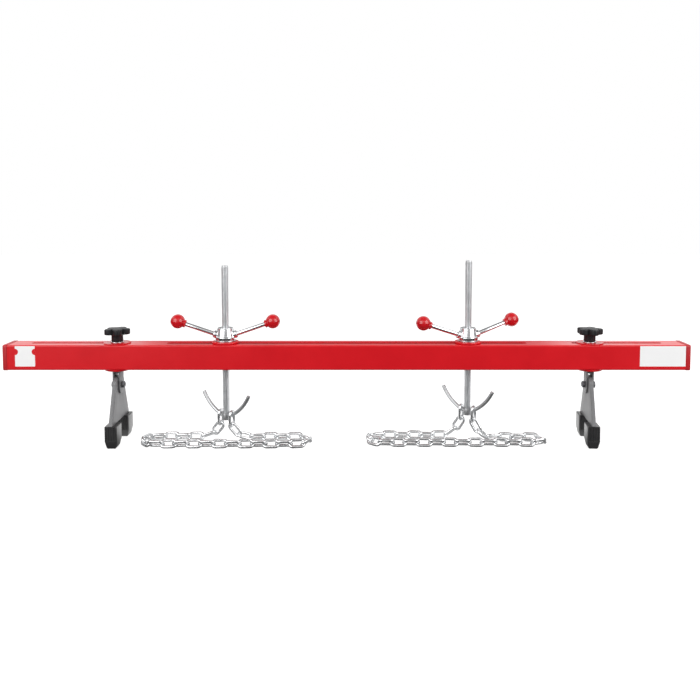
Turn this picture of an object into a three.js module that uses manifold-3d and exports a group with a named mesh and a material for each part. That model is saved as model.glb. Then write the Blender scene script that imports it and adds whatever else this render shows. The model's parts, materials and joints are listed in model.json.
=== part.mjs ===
// Engine support bar: a slotted steel beam that stands on two forked feet with rubber boots and
// carries two double hooks on lifting screws, each with its sling chain laid out on the floor.
// Millimetres, +Z up, +X along the beam, the viewer stands on the -Y side and the floor is z = 0.
import * as THREE from "three";
import { mergeVertices } from "three/addons/utils/BufferGeometryUtils.js";
import Module from "manifold-3d";

const wasm = await Module();
wasm.setup();

// Fits and fineness
const SEAT_GAP = 0.3; // between two pieces that touch
const RUNNING_GAP = 0.75; // between two pieces that move past each other
const CUT_OVERRUN = 3; // how far a cut passes the face it opens
const WELD_DISTANCE = 0.0005; // points closer than this are one point
const ROUND_SIDES = 20;
const SMALL_ROUND_SIDES = 12;
const BALL_STEPS = 6;
const HEX_SIDES = 6;
const BAR_SIDES = 8;
const CORNER_STEPS = 2;
const CURVE_STEPS = 6;

// Beam: a rectangular tube, slotted through its top and bottom walls. Half its length is the sum
// of what lies along it, from the middle to an end.
const HOOK_X = 268.5; // from the middle of the beam to each lifting screw
const HOOK_TRAVEL = 121.5; // from there to the middle slot's end
const SLOT_BRIDGE = 114; // from there to the inner end of a foot slot
const FOOT_SLOT_LENGTH = 186;
const BEAM_MARGIN = 60; // from the foot slot's outer end to the face of the end cap
const BEAM_DEPTH = 60;
const BEAM_HEIGHT = 55;
const BEAM_WALL = 2.5;
const BEAM_CORNER_RADIUS = 4;

// End caps
const CAP_FLANGE = 9;
const CAP_PROUD = 0.8;
const CAP_EDGE = 1.4;
const CAP_PLUG = 22;
const CAP_WALL = 3;

// Feet
const LEFT_FOOT_TRAVEL = 4; // from its slot's inner end
const RIGHT_FOOT_TRAVEL = 34;
const RIGHT_FOOT_YAW = -5; // degrees about +Z
const PIVOT_HEIGHT = 128;
const PIVOT_DROP = 33; // clevis top down to the pivot
const FOOT_DISC_DIAMETER = 59;
const FOOT_BASE_DISC = 4.4; // thickness
const FOOT_TOP_DISC = 1.5;
const FOOT_WASHER_DIAMETER = 29;
const FOOT_WASHER = 1.6;
const STUD_DIAMETER = 12;
const STUD_IN_KNOB = 14;
const STUD_CHAMFER = 1.2;
const STUD_HEAD = 3.5;
const STUD_HEAD_DEPTH = 20;

// Clevis, its pivot bolt and the leg plate between its cheeks
const CLEVIS_DEPTH = 30;
const CLEVIS_STRAP = 3;
const CLEVIS_BEND_RADIUS = 3.3;
const CLEVIS_TAIL = 20; // pivot down to the end of the cheeks
const PIVOT_DIAMETER = 8;
const PIVOT_HEAD = 5.3;
const PIVOT_NUT = 6.5;
const PIVOT_FLATS = 13;
const PIVOT_END = 1.3;
const LEG_THICKNESS = 8.5;
const LEG_EAR = 19; // pivot up to the top of the plate
const LEG_EAR_HALF = 31;
const LEG_EAR_RADIUS = 17;
const PRONG_WIDTH = 24;
const PRONG_CLEAR_OF_FLOOR = 10;

// Rubber boots
const BOOT_SPREAD = 45; // middle of the plate to the middle of a boot
const BOOT_WIDTH = 27;
const BOOT_DEPTH = 38;
const BOOT_HEIGHT = 50;
const BOOT_SOLE_WIDTH = 19.5;
const BOOT_SOLE_DEPTH = 29;
const BOOT_TAPER = 17; // height of the tapered part
const BOOT_CORNER_RADIUS = 2.5;
const BOOT_TOP_EDGE = 1.5;
const BOOT_RIBS = 3;
const BOOT_GROOVE = 1;

// Clamp knobs
const KNOB_DIAMETER = 57;
const KNOB_VALLEY_DIAMETER = 36;
const KNOB_LOBES = 5;
const KNOB_STEPS_PER_LOBE = 6;
const KNOB_STEM_DIAMETER = 25.5;
const KNOB_STEM = 15.5;
const KNOB_FLARE = 3.5;
const KNOB_HEAD = 14;
const KNOB_EDGE = 2;
const KNOB_CROWN = 1.4;
const INSERT_DIAMETER = 17;
const INSERT_LENGTH = 17;

// Lifting gear: disc, thrust washer, lever nut and screw
const HOOK_DISC_DIAMETER = 58;
const HOOK_DISC = 4;
const THRUST_WASHER_DIAMETER = 46;
const THRUST_WASHER = 2.5;
const NUT_BASE_DIAMETER = 44;
const NUT_TOP_DIAMETER = 34;
const NUT_COLLAR = 7; // height of the straight collar at the nut's foot
const NUT_HEIGHT = 27;
const NUT_EDGE = 2;
const SCREW_DIAMETER = 16;
const SCREW_LENGTH = 341;
const SCREW_CHAMFER = 2;
const LEFT_HOOK_HEIGHT = 49; // underside of the hook over the floor
const RIGHT_HOOK_HEIGHT = 60;

// Levers
const LEVER_TILT = 18.8; // degrees above level
const LEVER_ROOT_RADIUS = 20; // where a lever's middle line leaves the nut
const LEVER_ROOT_HEIGHT = 11.6;
const LEVER_BALL_RADIUS = 105; // screw to the middle of a ball, level
const LEVER_DIAMETER = 10;
const LEVER_IN_NUT = 7;
const LEVER_IN_BALL = 10;
const LEVER_BOSS_DIAMETER = 17;
const LEVER_BOSS = 6; // how far a boss stands out of the nut
const BALL_DIAMETER = 32;
const BALL_NECK_DIAMETER = 17;
const BALL_NECK = 2.5; // how far the neck stands out of the ball
const RIGHT_LEVER_YAW = 15;

// Double hook
const HOOK_BAR_DIAMETER = 8.5;
const HOOK_HUB_DIAMETER = 21;
const HOOK_HUB_HEIGHT = 15;
const HOOK_HUB_FLOOR = 3;
const HOOK_HUB_EDGE = 1.5;
const HOOK_REACH = 60; // screw to the middle of a tip
const HOOK_ROOT_REACH = 6;
const HOOK_ROOT_HEIGHT = 7;
const HOOK_ROOT_SLOPE = 22; // degrees above level
const HOOK_TIP_SLOPE = 65;
const LEFT_HOOK_YAW = -26;
const RIGHT_HOOK_YAW = -34;

// Chains
const CHAIN_WIRE = 6;
const CHAIN_SIDES = 4;
const LINK_INNER_LENGTH = 27;
const LINK_INNER_WIDTH = 10;
const LINK_ARC_STEPS = 3;
const LINK_BITE = 0.6; // how far a joined link sinks into its neighbour
const LINK_ROLL = 45; // degrees, to one side and the other in turn
const ROLL_LINKS = 2; // links over which a chain turns from its hook to its lie
const LINK_PLAY = 0.5; // between the wires of two loose links
const RING_REACH = 15; // screw to the first link on a hook
const CHAIN_FLOOR_GAP = 0.1;
const DROP_REACH = 20; // how far a falling chain keeps to the line of its hook's arm
const WAY_STEP = 1;
const LEAST_OUTER = 130; // a chain's outer turn is sought between these two
const MOST_OUTER = 260;
const OUTER_HALVINGS = 24;
// Each chain: how many links each welded length has between the two loose links on the hook, and
// its lay on the floor, measured from the screw: reach of the inner turn, where the chain lands on
// either side, and how far back its runs lie. Outer is the side of the nearer foot.
const LEFT_LAY = {
  welded: [4, 6, 7, 7, 4],
  inner: 195,
  landOuter: 41.5,
  landInner: 60.5,
  backOuter: 5,
  backInner: 2,
  front: -48,
};
const RIGHT_LAY = {
  welded: [4, 6, 9, 7, 4],
  inner: 229,
  landOuter: 49.5,
  landInner: 51.5,
  backOuter: 1,
  backInner: 15,
  front: -38,
};

// Heights and places that follow
const HOOK_SLOT_REACH = HOOK_X + HOOK_TRAVEL;
const FOOT_SLOT_INNER = HOOK_SLOT_REACH + SLOT_BRIDGE;
const FOOT_SLOT_OUTER = FOOT_SLOT_INNER + FOOT_SLOT_LENGTH;
const BEAM_LENGTH = 2 * (FOOT_SLOT_OUTER + BEAM_MARGIN);
const LEFT_FOOT_X = -(FOOT_SLOT_INNER + LEFT_FOOT_TRAVEL);
const RIGHT_FOOT_X = FOOT_SLOT_INNER + RIGHT_FOOT_TRAVEL;
const CLEVIS_TOP = PIVOT_HEIGHT + PIVOT_DROP;
const BASE_DISC_Z = CLEVIS_TOP + SEAT_GAP;
const BEAM_BOTTOM = BASE_DISC_Z + FOOT_BASE_DISC + SEAT_GAP;
const BEAM_TOP = BEAM_BOTTOM + BEAM_HEIGHT;
const TOP_DISC_Z = BEAM_TOP + SEAT_GAP;
const FOOT_WASHER_Z = TOP_DISC_Z + FOOT_TOP_DISC + SEAT_GAP;
const INSERT_Z = FOOT_WASHER_Z + FOOT_WASHER + SEAT_GAP;
const STUD_TOP = INSERT_Z + STUD_IN_KNOB;
const KNOB_Z = INSERT_Z + SEAT_GAP;
const HOOK_DISC_Z = BEAM_TOP + SEAT_GAP;
const THRUST_WASHER_Z = HOOK_DISC_Z + HOOK_DISC + SEAT_GAP;
const NUT_Z = THRUST_WASHER_Z + THRUST_WASHER + SEAT_GAP;
const CLEVIS_GAP = LEG_THICKNESS + 2 * RUNNING_GAP;
const CLEVIS_WIDTH = CLEVIS_GAP + 2 * CLEVIS_STRAP;

const X_AXIS = new THREE.Vector3(1, 0, 0);
const Y_AXIS = new THREE.Vector3(0, 1, 0);
const Z_AXIS = new THREE.Vector3(0, 0, 1);
// Turns a shape drawn in its own x and y so that it faces along +X.
const FACING_X = new THREE.Matrix4().makeBasis(Y_AXIS, Z_AXIS, X_AXIS);

const FINISHES = {
  redPaint: { color: 0xc41620, roughness: 0.38, metalness: 0.1 },
  redPlastic: { color: 0xbe1a22, roughness: 0.45, metalness: 0 },
  greyPaint: { color: 0x878787, roughness: 0.55, metalness: 0.3 },
  rubber: { color: 0x2c2c2c, roughness: 0.85, metalness: 0 },
  blackPlastic: { color: 0x191919, roughness: 0.5, metalness: 0 },
  zinc: { color: 0xc9ccce, roughness: 0.3, metalness: 0.9 },
  chrome: { color: 0xdedede, roughness: 0.12, metalness: 1 },
};

// Joining and cutting

function solid(geometry) {
  const bare = new THREE.BufferGeometry();
  bare.setAttribute("position", geometry.getAttribute("position").clone());
  if (geometry.index) bare.setIndex(geometry.index.clone());
  const merged = mergeVertices(bare, WELD_DISTANCE);
  const corners = merged.index.array;
  const kept = [];
  for (let i = 0; i < corners.length; i += 3) {
    const [a, b, c] = [corners[i], corners[i + 1], corners[i + 2]];
    if (a !== b && b !== c && c !== a) kept.push(a, b, c);
  }
  return new wasm.Manifold(
    new wasm.Mesh({
      numProp: 3,
      vertProperties: merged.getAttribute("position").array,
      triVerts: new Uint32Array(kept),
    }),
  );
}

function geometryOf(body) {
  const mesh = body.getMesh();
  const geometry = new THREE.BufferGeometry();
  geometry.setAttribute("position", new THREE.BufferAttribute(mesh.vertProperties, 3));
  geometry.setIndex(new THREE.BufferAttribute(mesh.triVerts, 1));
  const faceted = geometry.toNonIndexed();
  faceted.computeVertexNormals();
  return faceted;
}

function join(bodies) {
  return bodies.reduce((whole, body) => whole.add(body));
}

function named(name, body, finish) {
  const mesh = new THREE.Mesh(geometryOf(body), new THREE.MeshStandardMaterial(FINISHES[finish]));
  mesh.name = name;
  return mesh;
}

// Basic forms

function revolve(profile, sides = ROUND_SIDES) {
  const points = profile.map(([radius, height]) => new THREE.Vector2(radius, height));
  return new THREE.LatheGeometry(points, sides).rotateX(Math.PI / 2);
}

function cylinder(diameter, length, sides = SMALL_ROUND_SIDES) {
  const radius = diameter / 2;
  return revolve([[0, 0], [radius, 0], [radius, length], [0, length]], sides);
}

// A round bar along z with a chamfer at its top.
function chamferedBar(diameter, chamfer, bottom, top) {
  const radius = diameter / 2;
  return revolve(
    [[0, bottom], [radius, bottom], [radius, top - chamfer], [radius - chamfer, top], [0, top]],
    SMALL_ROUND_SIDES,
  );
}

// A flat ring, its underside at z = 0.
function ring(outerDiameter, holeDiameter, thickness) {
  const [outer, hole] = [outerDiameter / 2, holeDiameter / 2];
  return revolve([[hole, 0], [outer, 0], [outer, thickness], [hole, thickness], [hole, 0]]);
}

function extrude(shape, depth, steps = CORNER_STEPS) {
  return new THREE.ExtrudeGeometry(shape, { depth, bevelEnabled: false, curveSegments: steps });
}

function roundedRectangle(width, height, radius) {
  const [x, y] = [width / 2 - radius, height / 2 - radius];
  const shape = new THREE.Shape();
  shape.absarc(x, -y, radius, -Math.PI / 2, 0);
  shape.absarc(x, y, radius, 0, Math.PI / 2);
  shape.absarc(-x, y, radius, Math.PI / 2, Math.PI);
  shape.absarc(-x, -y, radius, Math.PI, Math.PI * 1.5);
  shape.closePath();
  return shape;
}

// A slot with round ends, from one end centre to the other along x.
function slotShape(from, to, width) {
  const shape = new THREE.Shape();
  shape.absarc(to, 0, width / 2, -Math.PI / 2, Math.PI / 2);
  shape.absarc(from, 0, width / 2, Math.PI / 2, Math.PI * 1.5);
  shape.closePath();
  return shape;
}

function hexagon(acrossFlats) {
  const reach = acrossFlats / 2 / Math.cos(Math.PI / HEX_SIDES);
  const corners = [];
  for (let i = 0; i < HEX_SIDES; i++) {
    const angle = (2 * Math.PI * i) / HEX_SIDES;
    corners.push(new THREE.Vector2(reach * Math.cos(angle), reach * Math.sin(angle)));
  }
  return new THREE.Shape(corners);
}

// A closed skin over rings of points that all have the same count, capped flat at both ends.
function loft(rings) {
  const count = rings[0].length;
  const positions = rings.flat();
  const index = [];
  for (let level = 0; level + 1 < rings.length; level++) {
    for (let i = 0; i < count; i++) {
      const [a, b] = [level * count + i, level * count + ((i + 1) % count)];
      index.push(a, b, b + count, a, b + count, a + count);
    }
  }
  const cap = (start, outward) => {
    const middle = new THREE.Vector3();
    for (let i = 0; i < count; i++) middle.addScaledVector(positions[start + i], 1 / count);
    positions.push(middle);
    const centre = positions.length - 1;
    for (let i = 0; i < count; i++) {
      const [a, b] = [start + i, start + ((i + 1) % count)];
      if (outward) index.push(a, b, centre);
      else index.push(b, a, centre);
    }
  };
  cap(0, false);
  cap((rings.length - 1) * count, true);
  return new THREE.BufferGeometry().setFromPoints(positions).setIndex(index);
}

// A round bar bent along an open curve, cut square at both ends.
function bar(curve, diameter, steps) {
  const section = new THREE.Shape().absarc(0, 0, diameter / 2, 0, 2 * Math.PI);
  return new THREE.ExtrudeGeometry(section, {
    extrudePath: curve,
    steps,
    curveSegments: BAR_SIDES / 2,
    bevelEnabled: false,
  });
}

// Beam and end caps

function makeBeam() {
  const length = BEAM_LENGTH - 2 * (CAP_FLANGE + SEAT_GAP);
  const wall = roundedRectangle(BEAM_DEPTH, BEAM_HEIGHT, BEAM_CORNER_RADIUS);
  const bore = roundedRectangle(
    BEAM_DEPTH - 2 * BEAM_WALL,
    BEAM_HEIGHT - 2 * BEAM_WALL,
    BEAM_CORNER_RADIUS - BEAM_WALL,
  );
  wall.holes.push(bore);
  const middle = BEAM_BOTTOM + BEAM_HEIGHT / 2;
  let beam = solid(
    extrude(wall, length).applyMatrix4(FACING_X).translate(-length / 2, 0, middle),
  );
  const footSlot = STUD_DIAMETER + 2 * RUNNING_GAP;
  const hookSlot = SCREW_DIAMETER + 2 * RUNNING_GAP;
  const slots = [
    slotShape(-FOOT_SLOT_OUTER, -FOOT_SLOT_INNER, footSlot),
    slotShape(-HOOK_SLOT_REACH, HOOK_SLOT_REACH, hookSlot),
    slotShape(FOOT_SLOT_INNER, FOOT_SLOT_OUTER, footSlot),
  ];
  for (const slot of slots) {
    const cut = extrude(slot, BEAM_HEIGHT + 2 * CUT_OVERRUN);
    beam = beam.subtract(solid(cut.translate(0, 0, BEAM_BOTTOM - CUT_OVERRUN)));
  }
  return named("beam_tube", beam, "redPaint");
}

// A moulded cap whose hollow plug slides into the tube; side is -1 at the left end, 1 at the right.
function makeEndCap(side) {
  const face = roundedRectangle(
    BEAM_DEPTH + 2 * (CAP_PROUD - CAP_EDGE),
    BEAM_HEIGHT + 2 * (CAP_PROUD - CAP_EDGE),
    BEAM_CORNER_RADIUS - CAP_EDGE / 2,
  );
  const flange = new THREE.ExtrudeGeometry(face, {
    depth: CAP_FLANGE - 2 * CAP_EDGE,
    bevelThickness: CAP_EDGE,
    bevelSize: CAP_EDGE,
    bevelSegments: 1,
    curveSegments: CORNER_STEPS,
  }).translate(0, 0, CAP_EDGE);
  const inset = BEAM_WALL + SEAT_GAP;
  const plugRadius = BEAM_CORNER_RADIUS - BEAM_WALL;
  const plug = roundedRectangle(BEAM_DEPTH - 2 * inset, BEAM_HEIGHT - 2 * inset, plugRadius);
  const hollow = inset + CAP_WALL;
  plug.holes.push(
    roundedRectangle(BEAM_DEPTH - 2 * hollow, BEAM_HEIGHT - 2 * hollow, plugRadius),
  );
  const overlap = CAP_FLANGE / 2;
  const sleeve = extrude(plug, CAP_PLUG + overlap).translate(0, 0, -CAP_PLUG);
  const cap = solid(flange).add(solid(sleeve));
  const placed = geometryOf(cap)
    .applyMatrix4(FACING_X)
    .rotateZ(side < 0 ? Math.PI : 0)
    .translate(side * (BEAM_LENGTH / 2 - CAP_FLANGE), 0, BEAM_BOTTOM + BEAM_HEIGHT / 2);
  return named(side < 0 ? "left_end_cap" : "right_end_cap", solid(placed), "redPlastic");
}

// Feet. Each piece is made about the foot's own upright axis.

// A bolt with a flat T head that can't turn between the clevis's cheeks.
function makeStud() {
  const headTop = CLEVIS_TOP - CLEVIS_STRAP - SEAT_GAP;
  const shank = chamferedBar(STUD_DIAMETER, STUD_CHAMFER, headTop - STUD_HEAD / 2, STUD_TOP);
  const head = new THREE.BoxGeometry(CLEVIS_GAP - 2 * SEAT_GAP, STUD_HEAD_DEPTH, STUD_HEAD)
    .translate(0, 0, headTop - STUD_HEAD / 2);
  return solid(shank).add(solid(head));
}

// The strap bent to an inverted U, open to front and back, with cheeks rounded below the pivot.
function makeClevis() {
  const [outer, inner] = [CLEVIS_WIDTH / 2, CLEVIS_GAP / 2];
  const tail = PIVOT_HEIGHT - CLEVIS_TAIL;
  const underside = CLEVIS_TOP - CLEVIS_STRAP;
  const bend = CLEVIS_BEND_RADIUS;
  const innerBend = bend - CLEVIS_STRAP;
  const strap = new THREE.Shape();
  strap.moveTo(outer, tail);
  strap.absarc(outer - bend, CLEVIS_TOP - bend, bend, 0, Math.PI / 2);
  strap.absarc(bend - outer, CLEVIS_TOP - bend, bend, Math.PI / 2, Math.PI);
  strap.lineTo(-outer, tail);
  strap.lineTo(-inner, tail);
  strap.absarc(innerBend - inner, underside - innerBend, innerBend, Math.PI, Math.PI / 2, true);
  strap.absarc(inner - innerBend, underside - innerBend, innerBend, Math.PI / 2, 0, true);
  strap.lineTo(inner, tail);
  strap.closePath();
  const upright = new THREE.Matrix4().makeBasis(X_AXIS, Z_AXIS, Y_AXIS.clone().negate());
  const bent = extrude(strap, CLEVIS_DEPTH)
    .applyMatrix4(upright)
    .translate(0, CLEVIS_DEPTH / 2, 0);
  const cheek = new THREE.Shape();
  const round = CLEVIS_DEPTH / 2;
  cheek.absarc(0, tail + round, round, Math.PI, 2 * Math.PI);
  cheek.lineTo(round, CLEVIS_TOP + CUT_OVERRUN);
  cheek.lineTo(-round, CLEVIS_TOP + CUT_OVERRUN);
  cheek.closePath();
  const outline = extrude(cheek, CLEVIS_WIDTH + 2 * CUT_OVERRUN, CURVE_STEPS)
    .applyMatrix4(FACING_X)
    .translate(-CLEVIS_WIDTH / 2 - CUT_OVERRUN, 0, 0);
  const studHole = cylinder(STUD_DIAMETER + 2 * SEAT_GAP, CLEVIS_STRAP + 2 * CUT_OVERRUN)
    .translate(0, 0, underside - CUT_OVERRUN);
  return solid(bent)
    .intersect(solid(outline))
    .subtract(solid(studHole))
    .subtract(pivotHole(CLEVIS_WIDTH));
}

function pivotHole(width) {
  const length = width + 2 * CUT_OVERRUN;
  const hole = cylinder(PIVOT_DIAMETER + 2 * SEAT_GAP, length);
  return solid(hole.rotateY(Math.PI / 2).translate(-length / 2, 0, PIVOT_HEIGHT));
}

// The bolt lies along X with its head towards +X.
function makePivotBolt() {
  const seat = CLEVIS_WIDTH / 2 + SEAT_GAP;
  const end = seat + PIVOT_NUT + PIVOT_END;
  const shank = cylinder(PIVOT_DIAMETER, end + seat + PIVOT_HEAD / 2)
    .rotateY(Math.PI / 2)
    .translate(-end, 0, PIVOT_HEIGHT);
  const head = extrude(hexagon(PIVOT_FLATS), PIVOT_HEAD)
    .applyMatrix4(FACING_X)
    .translate(seat, 0, PIVOT_HEIGHT);
  return solid(shank).add(solid(head));
}

function makePivotNut() {
  const shape = hexagon(PIVOT_FLATS);
  const hole = new THREE.Path().absarc(0, 0, PIVOT_DIAMETER / 2 + SEAT_GAP, 0, 2 * Math.PI);
  shape.holes.push(hole);
  const seat = CLEVIS_WIDTH / 2 + SEAT_GAP;
  return solid(
    extrude(shape, PIVOT_NUT, SMALL_ROUND_SIDES / 2)
      .applyMatrix4(FACING_X)
      .translate(-seat - PIVOT_NUT, 0, PIVOT_HEIGHT),
  );
}

// A forked plate: an ear round the pivot, sides that spread to the boots and a prong into each.
function makeLegPlate() {
  const top = PIVOT_HEIGHT + LEG_EAR;
  const shoulder = top - LEG_EAR_RADIUS;
  const crotch = BOOT_HEIGHT + SEAT_GAP;
  const foot = BOOT_SPREAD + BOOT_DEPTH / 2;
  const [near, far] = [BOOT_SPREAD - PRONG_WIDTH / 2, BOOT_SPREAD + PRONG_WIDTH / 2];
  const arc = LEG_EAR_HALF - LEG_EAR_RADIUS;
  const shape = new THREE.Shape();
  shape.absarc(arc, shoulder, LEG_EAR_RADIUS, 0, Math.PI / 2);
  shape.absarc(-arc, shoulder, LEG_EAR_RADIUS, Math.PI / 2, Math.PI);
  shape.lineTo(-foot, crotch);
  shape.lineTo(-far, crotch);
  shape.lineTo(-far, PRONG_CLEAR_OF_FLOOR);
  shape.lineTo(-near, PRONG_CLEAR_OF_FLOOR);
  shape.lineTo(-near, crotch);
  shape.lineTo(near, crotch);
  shape.lineTo(near, PRONG_CLEAR_OF_FLOOR);
  shape.lineTo(far, PRONG_CLEAR_OF_FLOOR);
  shape.lineTo(far, crotch);
  shape.lineTo(foot, crotch);
  shape.closePath();
  const plate = extrude(shape, LEG_THICKNESS, CURVE_STEPS)
    .applyMatrix4(FACING_X)
    .translate(-LEG_THICKNESS / 2, 0, 0);
  return solid(plate).subtract(pivotHole(LEG_THICKNESS));
}

// One level of a boot: a rounded rectangle whose front and back faces carry upright ribs.
function bootSection(width, depth, groove, height) {
  const radius = BOOT_CORNER_RADIUS;
  const [x, y] = [width / 2 - radius, depth / 2 - radius];
  const points = [];
  const corner = (cx, cy, start) => {
    for (const share of [0, 1]) {
      const angle = start + (share * Math.PI) / 2;
      const [dx, dy] = [radius * Math.cos(angle), radius * Math.sin(angle)];
      points.push(new THREE.Vector3(cx + dx, cy + dy, height));
    }
  };
  // Across a face, each groove is a shallow trapezium between two ribs.
  const grooveShares = [0.3, 0.4, 0.6, 0.7];
  const face = (direction) => {
    for (let i = 0; i < BOOT_RIBS; i++) {
      grooveShares.forEach((share, k) => {
        const along = (2 * (i + share)) / BOOT_RIBS - 1;
        const sunk = k === 1 || k === 2 ? groove : 0;
        points.push(
          new THREE.Vector3(-direction * along * x, direction * (depth / 2 - sunk), height),
        );
      });
    }
  };
  corner(x, -y, -Math.PI / 2);
  corner(x, y, 0);
  face(1);
  corner(-x, y, Math.PI / 2);
  corner(-x, -y, Math.PI);
  face(-1);
  return points;
}

// side is -1 for the front boot, 1 for the rear one.
function makeBoot(side) {
  const rim = 2 * BOOT_TOP_EDGE;
  const skin = loft([
    bootSection(BOOT_SOLE_WIDTH, BOOT_SOLE_DEPTH, 0, 0),
    bootSection(BOOT_WIDTH, BOOT_DEPTH, BOOT_GROOVE, BOOT_TAPER),
    bootSection(BOOT_WIDTH, BOOT_DEPTH, BOOT_GROOVE, BOOT_HEIGHT - BOOT_TOP_EDGE),
    bootSection(BOOT_WIDTH - rim, BOOT_DEPTH - rim, 0, BOOT_HEIGHT),
  ]);
  const pocketWidth = LEG_THICKNESS + 2 * SEAT_GAP;
  const pocketDepth = PRONG_WIDTH + 2 * SEAT_GAP;
  const pocketFloor = PRONG_CLEAR_OF_FLOOR - SEAT_GAP;
  const pocketHeight = BOOT_HEIGHT - pocketFloor + CUT_OVERRUN;
  const pocket = new THREE.BoxGeometry(pocketWidth, pocketDepth, pocketHeight)
    .translate(0, 0, pocketFloor + pocketHeight / 2);
  const boot = solid(skin).subtract(solid(pocket));
  return solid(geometryOf(boot).translate(0, side * BOOT_SPREAD, 0));
}

// One level of the knob's head: lobes stand out where the cosine peaks.
function knobSection(outerDiameter, valleyDiameter, height) {
  const steps = KNOB_LOBES * KNOB_STEPS_PER_LOBE;
  const [outer, valley] = [outerDiameter / 2, valleyDiameter / 2];
  const points = [];
  for (let i = 0; i < steps; i++) {
    const angle = (2 * Math.PI * i) / steps;
    const wave = (1 + Math.cos(KNOB_LOBES * angle)) / 2;
    const radius = valley + (outer - valley) * Math.sqrt(wave);
    points.push(new THREE.Vector3(radius * Math.cos(angle), radius * Math.sin(angle), height));
  }
  return points;
}

function makeKnob() {
  const stem = KNOB_STEM_DIAMETER;
  const [outer, valley] = [KNOB_DIAMETER, KNOB_VALLEY_DIAMETER];
  const edge = 2 * KNOB_EDGE;
  const head = KNOB_Z + KNOB_STEM;
  const top = head + KNOB_HEAD;
  const skin = loft([
    knobSection(stem, stem, KNOB_Z),
    knobSection(stem, stem, head - KNOB_FLARE),
    knobSection(outer - edge, valley - edge, head),
    knobSection(outer, valley, head + KNOB_EDGE),
    knobSection(outer, valley, top - KNOB_EDGE - KNOB_CROWN),
    knobSection(outer - edge, valley - edge, top - KNOB_CROWN),
    knobSection(valley / 2, valley / 2, top),
  ]);
  const bore = cylinder(INSERT_DIAMETER + 2 * SEAT_GAP, INSERT_LENGTH + 2 * SEAT_GAP)
    .translate(0, 0, INSERT_Z - SEAT_GAP);
  return solid(skin).subtract(solid(bore));
}

function makeInsert() {
  const hole = STUD_DIAMETER / 2 + SEAT_GAP;
  const outer = INSERT_DIAMETER / 2;
  const [low, high] = [INSERT_Z, INSERT_Z + INSERT_LENGTH];
  const roof = STUD_TOP + SEAT_GAP;
  return revolve(
    [[0, roof], [hole, roof], [hole, low], [outer, low], [outer, high], [0, high]],
    SMALL_ROUND_SIDES,
  );
}

function makeFoot(name, x, yaw, side) {
  const foot = new THREE.Group();
  foot.position.x = x;
  const studHole = STUD_DIAMETER + 2 * SEAT_GAP;
  const still = new THREE.Group();
  const baseDisc = ring(FOOT_DISC_DIAMETER, studHole, FOOT_BASE_DISC);
  const topDisc = ring(FOOT_DISC_DIAMETER, studHole, FOOT_TOP_DISC);
  const washer = ring(FOOT_WASHER_DIAMETER, studHole, FOOT_WASHER);
  still.add(
    named(name + "_foot_base_disc", solid(baseDisc.translate(0, 0, BASE_DISC_Z)), "redPaint"),
    named(name + "_foot_top_disc", solid(topDisc.translate(0, 0, TOP_DISC_Z)), "redPaint"),
    named(name + "_foot_washer", solid(washer.translate(0, 0, FOOT_WASHER_Z)), "zinc"),
  );
  const turned = new THREE.Group();
  turned.rotation.z = THREE.MathUtils.degToRad(yaw);
  const outward = (body) => (side < 0 ? solid(geometryOf(body).rotateZ(Math.PI)) : body);
  turned.add(
    named(name + "_foot_stud", makeStud(), "zinc"),
    named(name + "_clevis", makeClevis(), "greyPaint"),
    named(name + "_pivot_bolt", outward(makePivotBolt()), "zinc"),
    named(name + "_pivot_nut", outward(makePivotNut()), "zinc"),
    named(name + "_leg_plate", makeLegPlate(), "greyPaint"),
    named(name + "_front_boot", makeBoot(-1), "rubber"),
    named(name + "_rear_boot", makeBoot(1), "rubber"),
    named(name + "_knob_insert", solid(makeInsert()), "zinc"),
    named(name + "_knob", makeKnob(), "blackPlastic"),
  );
  foot.add(still, turned);
  return foot;
}

// Lifting gear. Each piece is made about the screw's own upright axis.

function makeScrew(hookHeight) {
  const bottom = hookHeight + HOOK_HUB_FLOOR + SEAT_GAP;
  return solid(chamferedBar(SCREW_DIAMETER, SCREW_CHAMFER, bottom, bottom + SCREW_LENGTH));
}

const leverTilt = THREE.MathUtils.degToRad(LEVER_TILT);

// Puts a form made along +Z from its own origin on a lever's middle line, the given length out
// from the point where that line leaves the nut. side is 1 for the lever towards +X.
function onLever(geometry, start, side) {
  geometry.translate(0, 0, start).rotateY(Math.PI / 2 - leverTilt);
  geometry.translate(LEVER_ROOT_RADIUS, 0, NUT_Z + LEVER_ROOT_HEIGHT);
  return side < 0 ? geometry.rotateZ(Math.PI) : geometry;
}

const BALL_DISTANCE = (LEVER_BALL_RADIUS - LEVER_ROOT_RADIUS) / Math.cos(leverTilt);
const LEVER_LENGTH = LEVER_IN_NUT + BALL_DISTANCE - BALL_DIAMETER / 2 + LEVER_IN_BALL;

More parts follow.
